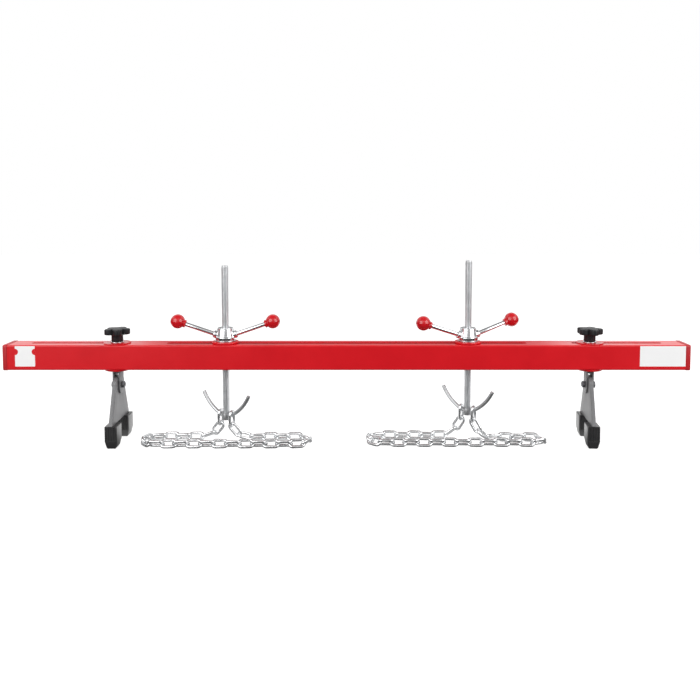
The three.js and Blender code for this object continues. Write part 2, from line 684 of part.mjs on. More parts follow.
// A tapered nut with a collar at its foot and a boss round each lever.
function makeLeverNut() {
  const hole = SCREW_DIAMETER / 2 + SEAT_GAP;
  const [base, top] = [NUT_BASE_DIAMETER / 2, NUT_TOP_DIAMETER / 2];
  const body = revolve([
    [hole, 0],
    [base - NUT_EDGE, 0],
    [base, NUT_EDGE],
    [base, NUT_COLLAR],
    [base - NUT_EDGE, NUT_COLLAR + NUT_EDGE],
    [top, NUT_HEIGHT - NUT_EDGE],
    [top - NUT_EDGE, NUT_HEIGHT],
    [hole, NUT_HEIGHT],
    [hole, 0],
  ]).translate(0, 0, NUT_Z);
  let nut = solid(body);
  for (const side of [-1, 1]) {
    const boss = cylinder(LEVER_BOSS_DIAMETER, LEVER_IN_NUT + LEVER_BOSS);
    nut = nut.add(solid(onLever(boss, -LEVER_IN_NUT, side)));
  }
  const bore = cylinder(2 * hole, NUT_HEIGHT + 2 * CUT_OVERRUN, ROUND_SIDES);
  nut = nut.subtract(solid(bore.translate(0, 0, NUT_Z - CUT_OVERRUN)));
  for (const side of [-1, 1]) {
    const depth = LEVER_IN_NUT + LEVER_BOSS + CUT_OVERRUN;
    const socket = cylinder(LEVER_DIAMETER + 2 * SEAT_GAP, depth);
    nut = nut.subtract(solid(onLever(socket, -LEVER_IN_NUT - SEAT_GAP, side)));
  }
  return nut;
}

function makeLever(side) {
  return solid(onLever(cylinder(LEVER_DIAMETER, LEVER_LENGTH), -LEVER_IN_NUT, side));
}

// A ball with a short neck where the lever screws in.
function makeBall(side) {
  const radius = BALL_DIAMETER / 2;
  const neckRadius = BALL_NECK_DIAMETER / 2;
  const start = BALL_DISTANCE - radius - BALL_NECK;
  const round = new THREE.SphereGeometry(radius, SMALL_ROUND_SIDES, BALL_STEPS)
    .rotateX(Math.PI / 2)
    .translate(0, 0, radius + BALL_NECK);
  const neck = cylinder(2 * neckRadius, radius);
  const hole = cylinder(
    LEVER_DIAMETER + 2 * SEAT_GAP,
    BALL_NECK + LEVER_IN_BALL + SEAT_GAP + CUT_OVERRUN,
  ).translate(0, 0, -CUT_OVERRUN);
  const ball = solid(round).add(solid(neck)).subtract(solid(hole));
  return solid(onLever(geometryOf(ball), start, side));
}

// The middle line of one hook arm, as a slope angle gives it: reach out from the screw, and height
// over the underside of the hook.
const rootSlope = THREE.MathUtils.degToRad(HOOK_ROOT_SLOPE);
const tipSlope = THREE.MathUtils.degToRad(HOOK_TIP_SLOPE);
const HOOK_BEND_RADIUS =
  (HOOK_REACH - HOOK_ROOT_REACH) / (Math.sin(tipSlope) - Math.sin(rootSlope));

function slopeAtReach(reach) {
  return Math.asin(Math.sin(rootSlope) + (reach - HOOK_ROOT_REACH) / HOOK_BEND_RADIUS);
}

function armPoint(slope) {
  return {
    reach: HOOK_ROOT_REACH + HOOK_BEND_RADIUS * (Math.sin(slope) - Math.sin(rootSlope)),
    height: HOOK_ROOT_HEIGHT + HOOK_BEND_RADIUS * (Math.cos(rootSlope) - Math.cos(slope)),
  };
}

class ArmCurve extends THREE.Curve {
  constructor(side, hookHeight) {
    super();
    this.side = side;
    this.hookHeight = hookHeight;
  }
  getPoint(share, target = new THREE.Vector3()) {
    const { reach, height } = armPoint(rootSlope + share * (tipSlope - rootSlope));
    return target.set(this.side * reach, 0, this.hookHeight + height);
  }
}

// Two bent arms welded into a hub that holds the end of the screw.
function makeDoubleHook(hookHeight) {
  const hub = HOOK_HUB_DIAMETER / 2;
  const body = revolve(
    [
      [0, 0],
      [hub - HOOK_HUB_EDGE, 0],
      [hub, HOOK_HUB_EDGE],
      [hub, HOOK_HUB_HEIGHT - HOOK_HUB_EDGE],
      [hub - HOOK_HUB_EDGE, HOOK_HUB_HEIGHT],
      [0, HOOK_HUB_HEIGHT],
    ],
    SMALL_ROUND_SIDES,
  ).translate(0, 0, hookHeight);
  const arms = [-1, 1].map((side) =>
    solid(bar(new ArmCurve(side, hookHeight), HOOK_BAR_DIAMETER, CURVE_STEPS)),
  );
  const socket = cylinder(SCREW_DIAMETER + 2 * SEAT_GAP, HOOK_HUB_HEIGHT + CUT_OVERRUN)
    .translate(0, 0, hookHeight + HOOK_HUB_FLOOR);
  return join([solid(body), ...arms]).subtract(solid(socket));
}

// Chains

const wireRadius = CHAIN_WIRE / 2;
const LINK_ARC_RADIUS = LINK_INNER_WIDTH / 2 + wireRadius;
const LINK_HALF = LINK_INNER_LENGTH / 2 + wireRadius; // middle of a link to the middle of its crown
const FREE_END = wireRadius + LINK_PLAY / 2; // crown to the meeting point of two loose links
const JOINED_END = wireRadius - LINK_BITE; // and of two links that are joined
const HUNG_END = CHAIN_WIRE + SEAT_GAP; // and crown to the wire of the loose link it hangs on

// One link, long along x and wide along y: a wire bent round both ends in short straights, with
// an edge of the wire along the inside of the link.
function makeLinkGeometry() {
  const straight = LINK_HALF - LINK_ARC_RADIUS;
  const step = Math.PI / LINK_ARC_STEPS;
  const loop = [];
  for (const side of [1, -1]) {
    for (let i = 0; i <= LINK_ARC_STEPS; i++) {
      const onStraight = i === 0 || i === LINK_ARC_STEPS;
      const radius = onStraight ? LINK_ARC_RADIUS : LINK_ARC_RADIUS / Math.cos(step / 2);
      const angle = i * step - Math.PI / 2;
      const x = side * (straight + radius * Math.cos(angle));
      loop.push(new THREE.Vector2(x, side * radius * Math.sin(angle)));
    }
  }
  const points = [];
  loop.forEach((here, i) => {
    const before = loop[(i + loop.length - 1) % loop.length];
    const after = loop[(i + 1) % loop.length];
    const mitre = outwardOf(before, here).add(outwardOf(here, after));
    mitre.multiplyScalar(2 / mitre.lengthSq());
    for (let k = 0; k < CHAIN_SIDES; k++) {
      const angle = (2 * Math.PI * k) / CHAIN_SIDES + Math.PI;
      const out = here.clone().addScaledVector(mitre, wireRadius * Math.cos(angle));
      points.push(new THREE.Vector3(out.x, out.y, wireRadius * Math.sin(angle)));
    }
  });
  const index = [];
  for (let i = 0; i < loop.length; i++) {
    for (let k = 0; k < CHAIN_SIDES; k++) {
      const [next, up] = [(i + 1) % loop.length, (k + 1) % CHAIN_SIDES];
      const [a, b] = [i * CHAIN_SIDES + k, next * CHAIN_SIDES + k];
      const [c, d] = [next * CHAIN_SIDES + up, i * CHAIN_SIDES + up];
      index.push(a, b, c, a, c, d);
    }
  }
  return new THREE.BufferGeometry().setFromPoints(points).setIndex(index);
}

// The way out of a loop that runs anticlockwise, from one of its straights.
function outwardOf(from, to) {
  return new THREE.Vector2(to.y - from.y, from.x - to.x).normalize();
}

const linkGeometry = makeLinkGeometry();

function placedLink(middle, along, across) {
  const through = new THREE.Vector3().crossVectors(along, across);
  const place = new THREE.Matrix4().makeBasis(along, across, through).setPosition(middle);
  return solid(linkGeometry.clone().applyMatrix4(place));
}

// The chain's way over the floor and up to the hook at both ends, as a dense run of points: down,
// outward, round, under the hook at the front, round again and back up. side is -1 where outward
// is -X; start and end are in the lower crowns of the two links that hang on the hook.
function chainWay(lay, side, start, end, outer) {
  const roll = THREE.MathUtils.degToRad(LINK_ROLL);
  const floor = LINK_ARC_RADIUS * Math.sin(roll) + wireRadius + CHAIN_FLOOR_GAP;
  const halfWidth = LINK_ARC_RADIUS * Math.cos(roll) + wireRadius;
  const outerRadius = (lay.backOuter - lay.front) / 2;
  const innerRadius = (lay.backInner - lay.front) / 2;
  const outerTurn = outer - outerRadius - halfWidth;
  const innerTurn = lay.inner - innerRadius - halfWidth;
  const quarter = Math.PI / 2;
  const run = new THREE.Path();
  run.moveTo(lay.landOuter, lay.backOuter);
  run.lineTo(outerTurn, lay.backOuter);
  run.absarc(outerTurn, lay.front + outerRadius, outerRadius, quarter, -quarter, true);
  run.lineTo(-innerTurn, lay.front);
  run.absarc(-innerTurn, lay.front + innerRadius, innerRadius, -quarter, -3 * quarter, true);
  run.lineTo(-lay.landInner, lay.backInner);
  const laid = run
    .getSpacedPoints(Math.round(run.getLength() / WAY_STEP))
    .map((point) => new THREE.Vector3(side * point.x, point.y, floor));
  const drop = (from, to) => {
    const outward = from.clone().setZ(0).normalize();
    const bend = from.clone().addScaledVector(outward, DROP_REACH).setZ(floor);
    const curve = new THREE.QuadraticBezierCurve3(from, bend, to);
    return curve.getSpacedPoints(Math.round(curve.getLength() / WAY_STEP));
  };
  const down = drop(start, laid[0]);
  const up = drop(end, laid[laid.length - 1]).reverse();
  return [...down.slice(0, -1), ...laid, ...up.slice(1)];
}

// Steps of the given lengths along a way; null where the way ends before the last one.
function walk(way, lengths) {
  const reached = [way[0]];
  let next = 1;
  for (const length of lengths) {
    const from = reached[reached.length - 1];
    while (next < way.length && way[next].distanceTo(from) < length) next++;
    if (next === way.length) return null;
    const short = way[next - 1].distanceTo(from);
    const long = way[next].distanceTo(from);
    const share = (length - short) / (long - short);
    reached.push(new THREE.Vector3().lerpVectors(way[next - 1], way[next], share));
  }
  return reached;
}

// The reach of the outer turn with which the chain's links just fill their way.
function layChain(lay, side, start, end, lengths) {
  let [short, long] = [LEAST_OUTER, MOST_OUTER];
  for (let i = 0; i < OUTER_HALVINGS; i++) {
    const middle = (short + long) / 2;
    if (walk(chainWay(lay, side, start, end, middle), lengths)) long = middle;
    else short = middle;
  }
  return walk(chainWay(lay, side, start, end, long), lengths);
}

// An angle across a link means the same after half a turn, so it is kept within a quarter turn.
function folded(angle) {
  return angle - Math.PI * Math.round(angle / Math.PI);
}

// The level line across a direction, and the line square to both.
function levelFrame(along) {
  const level = new THREE.Vector3().crossVectors(Z_AXIS, along).normalize();
  return { level, rise: new THREE.Vector3().crossVectors(along, level) };
}

function rollOf(across, along) {
  const { level, rise } = levelFrame(along);
  return folded(Math.atan2(across.dot(rise), across.dot(level)));
}

// A chain in single nodes: the link on each end of the hook, and welded lengths between them.
function makeChain(name, side, lay, hookHeight, hookYaw) {
  const yaw = THREE.MathUtils.degToRad(hookYaw);
  const armWay = new THREE.Vector3(side * Math.cos(yaw), side * Math.sin(yaw), 0);
  const acrossArm = new THREE.Vector3().crossVectors(Z_AXIS, armWay);
  const slope = slopeAtReach(RING_REACH);
  const lift = (wireRadius + HOOK_BAR_DIAMETER / 2 + SEAT_GAP) / Math.cos(slope);
  const hangHeight = hookHeight + armPoint(slope).height + lift - LINK_HALF;
  const down = Z_AXIS.clone().negate();
  const rings = [armWay, armWay.clone().negate()].map((way) =>
    way.clone().multiplyScalar(RING_REACH).setZ(hangHeight),
  );
  const [start, end] = rings.map((centre) => centre.clone().addScaledVector(down, LINK_HALF));
  const lengthOf = [0, ...lay.welded.flatMap((count, i) => Array(count).fill(i + 1))];
  const final = lay.welded.length + 1;
  const last = lengthOf.push(final) - 1;
  const endOf = (link) => {
    if (link === 1 || link === last) return HUNG_END;
    return lengthOf[link - 1] === lengthOf[link] ? JOINED_END : FREE_END;
  };
  const lengths = [];
  for (let link = 1; link < last; link++) {
    lengths.push(2 * LINK_HALF - endOf(link) - endOf(link + 1));
  }
  const meets = layChain(lay, side, start, end, lengths);
  const ways = lengths.map((_, i) =>
    new THREE.Vector3().subVectors(meets[i + 1], meets[i]).normalize(),
  );
  const roll = THREE.MathUtils.degToRad(LINK_ROLL);
  const hangRoll = rollOf(acrossArm, ways[0]);
  const lieOf = (link) => Math.sign(hangRoll) * roll * (link % 2 ? -1 : 1);
  const firstTwist = folded(hangRoll - lieOf(0));
  const lastTwist = folded(rollOf(acrossArm, ways[ways.length - 1]) - lieOf(last));
  const pieces = Array.from({ length: final + 1 }, () => []);
  pieces[0].push(placedLink(rings[0], down, acrossArm));
  ways.forEach((along, i) => {
    const link = i + 1;
    const twist =
      firstTwist * Math.max(0, 1 - i / ROLL_LINKS) +
      lastTwist * Math.max(0, 1 - (last - 1 - link) / ROLL_LINKS);
    const angle = lieOf(link) + twist;
    const { level, rise } = levelFrame(along);
    const across = level.multiplyScalar(Math.cos(angle)).addScaledVector(rise, Math.sin(angle));
    const middle = meets[i].clone().addScaledVector(along, LINK_HALF - endOf(link));
    pieces[lengthOf[link]].push(placedLink(middle, along, across));
  });
  pieces[final].push(placedLink(rings[1], down, acrossArm));
  return pieces.map((links, i) => {
    if (i === 0) return named(name + "_chain_outer_link", join(links), "chrome");
    if (i === final) return named(name + "_chain_inner_link", join(links), "chrome");
    return named(name + "_chain_length_" + i, join(links), "chrome");
  });
}

function makeHookGear(name, side, x, hookHeight, hookYaw, leverYaw, lay) {
  const gear = new THREE.Group();
  gear.position.x = x;
  const hole = SCREW_DIAMETER + 2 * SEAT_GAP;
  const disc = ring(HOOK_DISC_DIAMETER, hole, HOOK_DISC).translate(0, 0, HOOK_DISC_Z);
  const washer = ring(THRUST_WASHER_DIAMETER, hole, THRUST_WASHER)
    .translate(0, 0, THRUST_WASHER_Z);
  gear.add(
    named(name + "_hook_disc", solid(disc), "redPaint"),
    named(name + "_thrust_washer", solid(washer), "zinc"),
    named(name + "_lift_screw", makeScrew(hookHeight), "chrome"),
    ...makeChain(name, side, lay, hookHeight, hookYaw),
  );
  const turnedNut = new THREE.Group();
  turnedNut.rotation.z = THREE.MathUtils.degToRad(leverYaw);
  turnedNut.add(
    named(name + "_lever_nut", makeLeverNut(), "chrome"),
    named(name + "_outer_lever", makeLever(side), "chrome"),
    named(name + "_inner_lever", makeLever(-side), "chrome"),
    named(name + "_outer_ball", makeBall(side), "redPlastic"),
    named(name + "_inner_ball", makeBall(-side), "redPlastic"),
  );
  const turnedHook = new THREE.Group();
  turnedHook.rotation.z = THREE.MathUtils.degToRad(hookYaw);
  turnedHook.add(named(name + "_double_hook", makeDoubleHook(hookHeight), "chrome"));
  gear.add(turnedNut, turnedHook);
  return gear;
}

const supportBar = new THREE.Group();
supportBar.add(
  makeBeam(),
  makeEndCap(-1),
  makeEndCap(1),
  makeFoot("left", LEFT_FOOT_X, 0, -1),
  makeFoot("right", RIGHT_FOOT_X, RIGHT_FOOT_YAW, 1),
  makeHookGear("left", -1, -HOOK_X, LEFT_HOOK_HEIGHT, LEFT_HOOK_YAW, 0, LEFT_LAY),
  makeHookGear("right", 1, HOOK_X, RIGHT_HOOK_HEIGHT, RIGHT_HOOK_YAW, RIGHT_LEVER_YAW, RIGHT_LAY),
);

export default supportBar;
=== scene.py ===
import json
import math

import bmesh
import bpy
from mathutils import Matrix, Vector

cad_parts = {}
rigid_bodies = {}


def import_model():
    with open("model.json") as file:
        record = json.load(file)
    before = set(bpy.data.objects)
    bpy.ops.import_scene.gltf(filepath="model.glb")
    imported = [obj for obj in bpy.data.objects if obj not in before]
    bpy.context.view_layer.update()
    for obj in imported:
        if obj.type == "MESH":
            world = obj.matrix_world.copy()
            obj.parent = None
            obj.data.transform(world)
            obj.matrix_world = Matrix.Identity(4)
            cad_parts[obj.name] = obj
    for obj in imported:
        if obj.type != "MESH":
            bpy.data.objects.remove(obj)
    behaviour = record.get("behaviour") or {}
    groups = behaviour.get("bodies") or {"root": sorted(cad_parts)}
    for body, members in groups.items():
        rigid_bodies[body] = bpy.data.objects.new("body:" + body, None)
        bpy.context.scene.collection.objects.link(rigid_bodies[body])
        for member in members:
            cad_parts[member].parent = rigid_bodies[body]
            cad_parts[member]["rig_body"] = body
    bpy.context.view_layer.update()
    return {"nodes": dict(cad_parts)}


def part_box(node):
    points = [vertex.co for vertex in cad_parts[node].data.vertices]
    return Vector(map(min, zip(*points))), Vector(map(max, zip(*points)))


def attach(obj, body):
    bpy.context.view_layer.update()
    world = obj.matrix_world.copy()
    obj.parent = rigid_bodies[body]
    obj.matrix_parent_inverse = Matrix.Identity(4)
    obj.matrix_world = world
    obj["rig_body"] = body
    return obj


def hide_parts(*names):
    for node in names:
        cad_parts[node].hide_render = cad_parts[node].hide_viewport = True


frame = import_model()

# Camera. It stands in front of the middle of the bar, at about the height of a table, and looks a
# little down on it. The frame is shifted so that the bar lies where the photograph has it.
MM = 0.001
CAMERA_PLACE = Vector((7.3, -1711.1, 535.4)) * MM
CAMERA_PITCH = math.radians(4)
CAMERA_FOCAL_SHARE = 1.11454  # focal length over the width of the frame
CAMERA_SHIFT_SHARE = -0.1354


def add_object(name, data):
    item = bpy.data.objects.new(name, data)
    bpy.context.scene.collection.objects.link(item)
    return item


camera_data = bpy.data.cameras.new("camera")
camera_data.lens = CAMERA_FOCAL_SHARE * camera_data.sensor_width
camera_data.shift_y = CAMERA_SHIFT_SHARE
camera_data.clip_start = 10 * MM
camera = add_object("camera", camera_data)
camera.location = CAMERA_PLACE
camera.rotation_euler.x = math.pi / 2 - CAMERA_PITCH
bpy.context.scene.camera = camera
bpy.context.scene.view_settings.view_transform = "Standard"

# Floor and surroundings. The photograph has a white sheet under and behind the object, on which
# only the nearest shadows show. The metal and paint mirror a sheet that is dark in front of the
# object and far out to its sides, and glaring behind it, and a room that is only light halfway up.
FLOOR_SIZE = 12
FLOOR_BELOW = 0.25 * MM
SHEET_SEEN = 0.5  # the share of the light and shade on the sheet that the camera sees
SHEET_GLOW = 0.77
SHEET_BOUNCE = 0.12
SHEET_GLARE = 1.6
SHEET_MIRRORED = [(-0.08, 0.05), (0.14, 1), (0.6, 1), (1.6, 0.3)]  # (way along Y, share of glare)
SHEET_SIDES = [(0.8, 1), (1.2, 0.05)]  # (way along X to either side, share of glare)
ROOM_LIGHT = 0.5
ROOM_MIRRORED = [(0.2, 0.36), (0.6, 0.9), (1, 0.15)]  # (sine of the height over the horizon, light)


def tree_of(owner):
    """The node tree of a material or world, switched on."""
    owner.use_nodes = True
    return owner.node_tree


def feed(node, inputs):
    """Sets a node's inputs to values or links them to sockets, and gives its outputs."""
    for name, value in inputs.items():
        if isinstance(value, bpy.types.NodeSocket):
            node.id_data.links.new(value, node.inputs[name])
        else:
            node.inputs[name].default_value = value
    return node.outputs


def add_node(tree, kind, inputs=None):
    return feed(tree.nodes.new(kind), inputs or {})


def choose(tree, chooser, low, high):
    """A value that is low where the chooser is 0 and high where it is 1; each may be a socket."""
    return add_node(tree, "ShaderNodeMix", {"Factor": chooser, "A": low, "B": high})["Result"]


def graded(tree, along, stops):
    """A value that passes smoothly through (place, value) stops along a socket's value."""
    low, high = stops[0][0], stops[-1][0]
    spread = add_node(tree, "ShaderNodeMapRange", {"Value": along, "From Min": low, "From Max": high})
    ramp = tree.nodes.new("ShaderNodeValToRGB")
    ramp.color_ramp.interpolation = "EASE"
    for place, _ in stops[1:-1]:
        ramp.color_ramp.elements.new((place - low) / (high - low))
    for stop, (_, value) in zip(ramp.color_ramp.elements, stops):
        stop.color = (value, value, value, 1)
    return feed(ramp, {"Fac": spread["Result"]})["Color"]


def axis_of(tree, kind, axis):
    place = add_node(tree, "ShaderNodeTexCoord")[kind]
    return add_node(tree, "ShaderNodeSeparateXYZ", {"Vector": place})[axis]


def calculate(tree, operation, *values):
    """One step of arithmetic on sockets or numbers."""
    step = tree.nodes.new("ShaderNodeMath")
    step.operation = operation
    return feed(step, dict(enumerate(values)))["Value"]


def mesh_of(bm, name):
    """Turns a finished form into a mesh."""
    mesh = bpy.data.meshes.new(name)
    bm.to_mesh(mesh)
    bm.free()
    return mesh


def make_floor():
    bm = bmesh.new()
    bmesh.ops.create_grid(bm, x_segments=1, y_segments=1, size=FLOOR_SIZE / 2)
    floor = add_object("floor", mesh_of(bm, "floor"))
    floor.location.z = -FLOOR_BELOW
    material = bpy.data.materials.new("white_sheet")
    tree = tree_of(material)
    along = graded(tree, axis_of(tree, "Object", "Y"), SHEET_MIRRORED)
    sideways = calculate(tree, "ABSOLUTE", axis_of(tree, "Object", "X"))
    glare = calculate(tree, "MULTIPLY", along, graded(tree, sideways, SHEET_SIDES))
    glare = calculate(tree, "MULTIPLY", glare, SHEET_GLARE)
    ray = add_node(tree, "ShaderNodeLightPath")
    tint = choose(tree, ray["Is Glossy Ray"], SHEET_BOUNCE, 0)
    glow = choose(tree, ray["Is Glossy Ray"], 0, glare)
    feed(tree.nodes["Principled BSDF"], {
        "Roughness": 1,
        "Specular IOR Level": 0,
        "Emission Color": (1, 1, 1, 1),
        "Base Color": choose(tree, ray["Is Camera Ray"], tint, SHEET_SEEN),
        "Emission Strength": choose(tree, ray["Is Camera Ray"], glow, SHEET_GLOW),
    })
    floor.data.materials.append(material)


def make_surroundings():
    world = bpy.data.worlds.new("studio")
    tree = tree_of(world)
    ray = add_node(tree, "ShaderNodeLightPath")
    mirrored = graded(tree, axis_of(tree, "Generated", "Z"), ROOM_MIRRORED)
    strength = choose(tree, ray["Is Glossy Ray"], ROOM_LIGHT, mirrored)
    strength = choose(tree, ray["Is Camera Ray"], strength, 1)
    feed(tree.nodes["Background"], {"Color": (1, 1, 1, 1), "Strength": strength})
    bpy.context.scene.world = world


make_floor()
make_surroundings()

# Lights. A large soft box stands in front of the object on the left, above its height, and a smaller
# one at the right, with a dark gap between them. One hangs overhead, and two behind the object
# lighten the ends of the beam's top.
LOOK_AT = Vector((0, 0, 0.2))
SOFT_BOXES = {
    "left_box": {"at": (-1.6, -1.9, 1.15), "size": (2.2, 2.2), "radiance": 2.5},
    "right_box": {"at": (2.0, -1.4, 1.15), "size": (1.9, 2.2), "radiance": 2.75},
    "top_box": {"at": (0, 0.8, 2.3), "size": (2.6, 1.2), "radiance": 1.9, "mirrored": False},
    "back_left_box": {"at": (-2.0, 2.6, 0.85), "size": (1.8, 0.9), "radiance": 1.1},
    "back_right_box": {"at": (2.0, 2.6, 0.85), "size": (1.8, 0.9), "radiance": 1.1},
}


def make_soft_box(name, at, size, radiance, mirrored=True):
    light = bpy.data.lights.new(name, "AREA")
    light.shape = "RECTANGLE"
    light.size, light.size_y = size
    light.energy = radiance * math.pi * light.size * light.size_y
    lamp = add_object(name, light)
    lamp.location = at
    lamp.visible_camera = False
    lamp.visible_glossy = mirrored
    aim = LOOK_AT - Vector(at)
    lamp.rotation_euler = aim.to_track_quat("-Z", "Y").to_euler()


for name, facts in SOFT_BOXES.items():
    make_soft_box(name, **facts)

# Beam. A rectangular steel tube with rounded edges, slotted through its top and bottom walls for
# the feet and the lifting screws, and coated in glossy red powder paint.
BEAM_WALL = 2.5 * MM
BEAM_CORNER = 2.8 * MM
BEAM_HOLD = 0.3 * MM  # a narrow flat strip that keeps the flat faces flat in shading
CORNER_SEGMENTS = 6
SLOT_STEPS = 28
FOOT_SLOT = (504 * MM, 690 * MM)
FOOT_SLOT_WIDTH = 13.5 * MM
HOOK_SLOT_REACH = 390 * MM
HOOK_SLOT_WIDTH = 17.5 * MM
SIDES = {"left": -1, "right": 1}
X, Y, Z = 0, 1, 2  # the axes of a vector
NEAR = 0.1 * MM  # what lies closer counts as the same place
SAME_WAY = 0.99  # the cosine of two directions that count as one
CREASE = 32  # faces that meet at a smaller angle, in degrees, are shaded as one
COAT_ROUGHNESS = 0.06
CLOUD_DETAIL = 4
CLOUD_STOPS = (0.3, 0.7)  # where the drift of the tint is at its darkest and its lightest
DULL_DRIFT = 0.15  # the drift of the roughness, as a share of it
GRAIN_DETAIL = 3
GRAIN_STRENGTH = 0.6
RED_PAINT = (0.7, 0.004, 0.011)


def surface(name, tint, roughness, metallic=0.0, drift=0.05, drift_scale=18, grain_scale=900,
            grain_depth=0.01, gloss=0.5, coat=0.0):
    """A finish whose tint and roughness drift a little, with a fine grain standing out of it.

    Scales are per metre and the grain's depth is in millimetres.
    """
    material = bpy.data.materials.new(name)
    tree = tree_of(material)
    place = add_node(tree, "ShaderNodeTexCoord")["Object"]
    cloud = add_node(tree, "ShaderNodeTexNoise", {
        "Vector": place, "Scale": drift_scale, "Detail": CLOUD_DETAIL})["Fac"]
    colours = tree.nodes.new("ShaderNodeValToRGB")
    stops = zip(colours.color_ramp.elements, CLOUD_STOPS, (1 - drift, 1 + drift))
    for stop, position, share in stops:
        stop.position = position
        stop.color = (*(min(1, channel * share) for channel in tint), 1)
    dull = add_node(tree, "ShaderNodeMapRange", {
        "Value": cloud, "To Min": roughness * (1 - DULL_DRIFT),
        "To Max": min(1, roughness * (1 + DULL_DRIFT))})
    grain = add_node(tree, "ShaderNodeTexNoise", {
        "Vector": place, "Scale": grain_scale, "Detail": GRAIN_DETAIL})
    bump = add_node(tree, "ShaderNodeBump", {
        "Height": grain["Fac"], "Strength": GRAIN_STRENGTH, "Distance": grain_depth * MM})
    feed(tree.nodes["Principled BSDF"], {
        "Base Color": feed(colours, {"Fac": cloud})["Color"],
        "Roughness": dull["Result"],
        "Normal": bump["Normal"],
        "Metallic": metallic,
        "Specular IOR Level": gloss,
        "Coat Weight": coat,
        "Coat Roughness": COAT_ROUGHNESS,
    })
    return material


def finish_piece(bm, name, body, material, stands_for=(), crease=CREASE):
    """Turns a finished mesh into a piece that moves with a CAD body."""
    bmesh.ops.recalc_face_normals(bm, faces=bm.faces)
    mesh = mesh_of(bm, name)
    mesh.shade_smooth()
    mesh.set_sharp_from_angle(angle=math.radians(crease))
    mesh.materials.append(material)
    piece = add_object(name, mesh)
    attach(piece, body)
    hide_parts(*stands_for)


def replace_node(bm, node, material, crease=CREASE):
    """Turns a finished mesh into the piece that stands for one CAD node."""
    body = frame["nodes"][node]["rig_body"]
    finish_piece(bm, node + "_skin", body, material, [node], crease)


def replace_pair(name, make, material, crease=CREASE):
    """Makes the left and the right piece of a name, by a function that takes the side."""
    for side in SIDES:
        replace_node(make(side), f"{side}_{name}", material, crease)


def box_between(bm, low, high):
    """Adds a plain block between two corners and gives its faces."""
    size = high - low
    place = Matrix.Translation((low + high) / 2) @ Matrix.Diagonal((*size, 1))
    verts = bmesh.ops.create_cube(bm, size=1, matrix=place)["verts"]
    return list({face for vert in verts for face in vert.link_faces})


def runs_along(edge, axis):
    way = (edge.verts[1].co - edge.verts[0].co).normalized()
    return abs(way[axis]) > SAME_WAY


def facing(faces, axis, way):
    """Those of the faces that look along an axis, or against it where way is -1."""
    return [face for face in faces if way * face.normal[axis] > SAME_WAY]


def round_edges(bm, edges, radius, segments):
    """Rounds edges and gives the new faces."""
    return bmesh.ops.bevel(bm, geom=list(edges), offset=radius, segments=segments, profile=0.5,
                           affect="EDGES", material=-1)["faces"]


def tube_skin(bm, low, high, corner):
    """Adds one skin of the tube, open at its ends, and gives its four flat sides."""
    before = set(bm.faces)
    faces = box_between(bm, low, high)
    ends = facing(faces, X, 1) + facing(faces, X, -1)
    bmesh.ops.delete(bm, geom=ends, context="FACES_ONLY")
    sides = [face for face in faces if face.is_valid]
    long_edges = {edge for face in sides for edge in face.edges if runs_along(edge, X)}
    rounded = round_edges(bm, long_edges, corner, CORNER_SEGMENTS)
    return [face for face in bm.faces if face not in before and face not in rounded]


def slot_loop(bm, start, end, width, height):
    """Adds the outline of one slot, a circle pulled apart along X, and gives its edges."""
    turn = Matrix.Rotation(math.pi / SLOT_STEPS, 4, "Z")
    place = Matrix.Translation(((start + end) / 2, 0, height)) @ turn
    verts = bmesh.ops.create_circle(bm, segments=SLOT_STEPS, radius=width / 2, matrix=place)["verts"]
    middle = (start + end) / 2
    for vert in verts:
        vert.co.x += math.copysign((end - start) / 2, vert.co.x - middle)
    return list({edge for vert in verts for edge in vert.link_edges})


beam_low, beam_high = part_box("beam_tube")
SLOTS = [
    (-FOOT_SLOT[1], -FOOT_SLOT[0], FOOT_SLOT_WIDTH),
    (-HOOK_SLOT_REACH, HOOK_SLOT_REACH, HOOK_SLOT_WIDTH),
    (FOOT_SLOT[0], FOOT_SLOT[1], FOOT_SLOT_WIDTH),
]


def make_beam():
    bm = bmesh.new()
    wall = Vector((0, BEAM_WALL, BEAM_WALL))
    rims = {-1: [], 1: []}
    for inset, corner in ((Vector(), BEAM_CORNER), (wall, BEAM_CORNER - BEAM_WALL)):
        flats = tube_skin(bm, beam_low + inset, beam_high - inset, corner)
        bmesh.ops.inset_individual(bm, faces=flats, thickness=BEAM_HOLD)
        for face in flats:
            upward = round(face.normal.z)
            if upward not in rims:
                continue
            height = face.calc_center_median().z
            loops = [slot_loop(bm, *slot, height) for slot in SLOTS]
            rims[upward].append(loops)
            edges = [*face.edges, *(edge for loop in loops for edge in loop)]
            bmesh.ops.delete(bm, geom=[face], context="FACES_ONLY")
            bmesh.ops.triangle_fill(bm, edges=edges, use_beauty=True)
    for outer, inner in rims.values():
        for rim, deep in zip(outer, inner):
            bmesh.ops.bridge_loops(bm, edges=rim + deep)
    for end in (beam_low.x, beam_high.x):
        rim = [edge for edge in bm.edges
               if edge.is_boundary and all(abs(vert.co.x - end) < NEAR for vert in edge.verts)]
        bmesh.ops.bridge_loops(bm, edges=rim)
    return bm


red_paint = surface("red_paint", RED_PAINT, roughness=0.3, drift=0.04, grain_scale=700, grain_depth=0.012)
replace_node(make_beam(), "beam_tube", red_paint, crease=40)

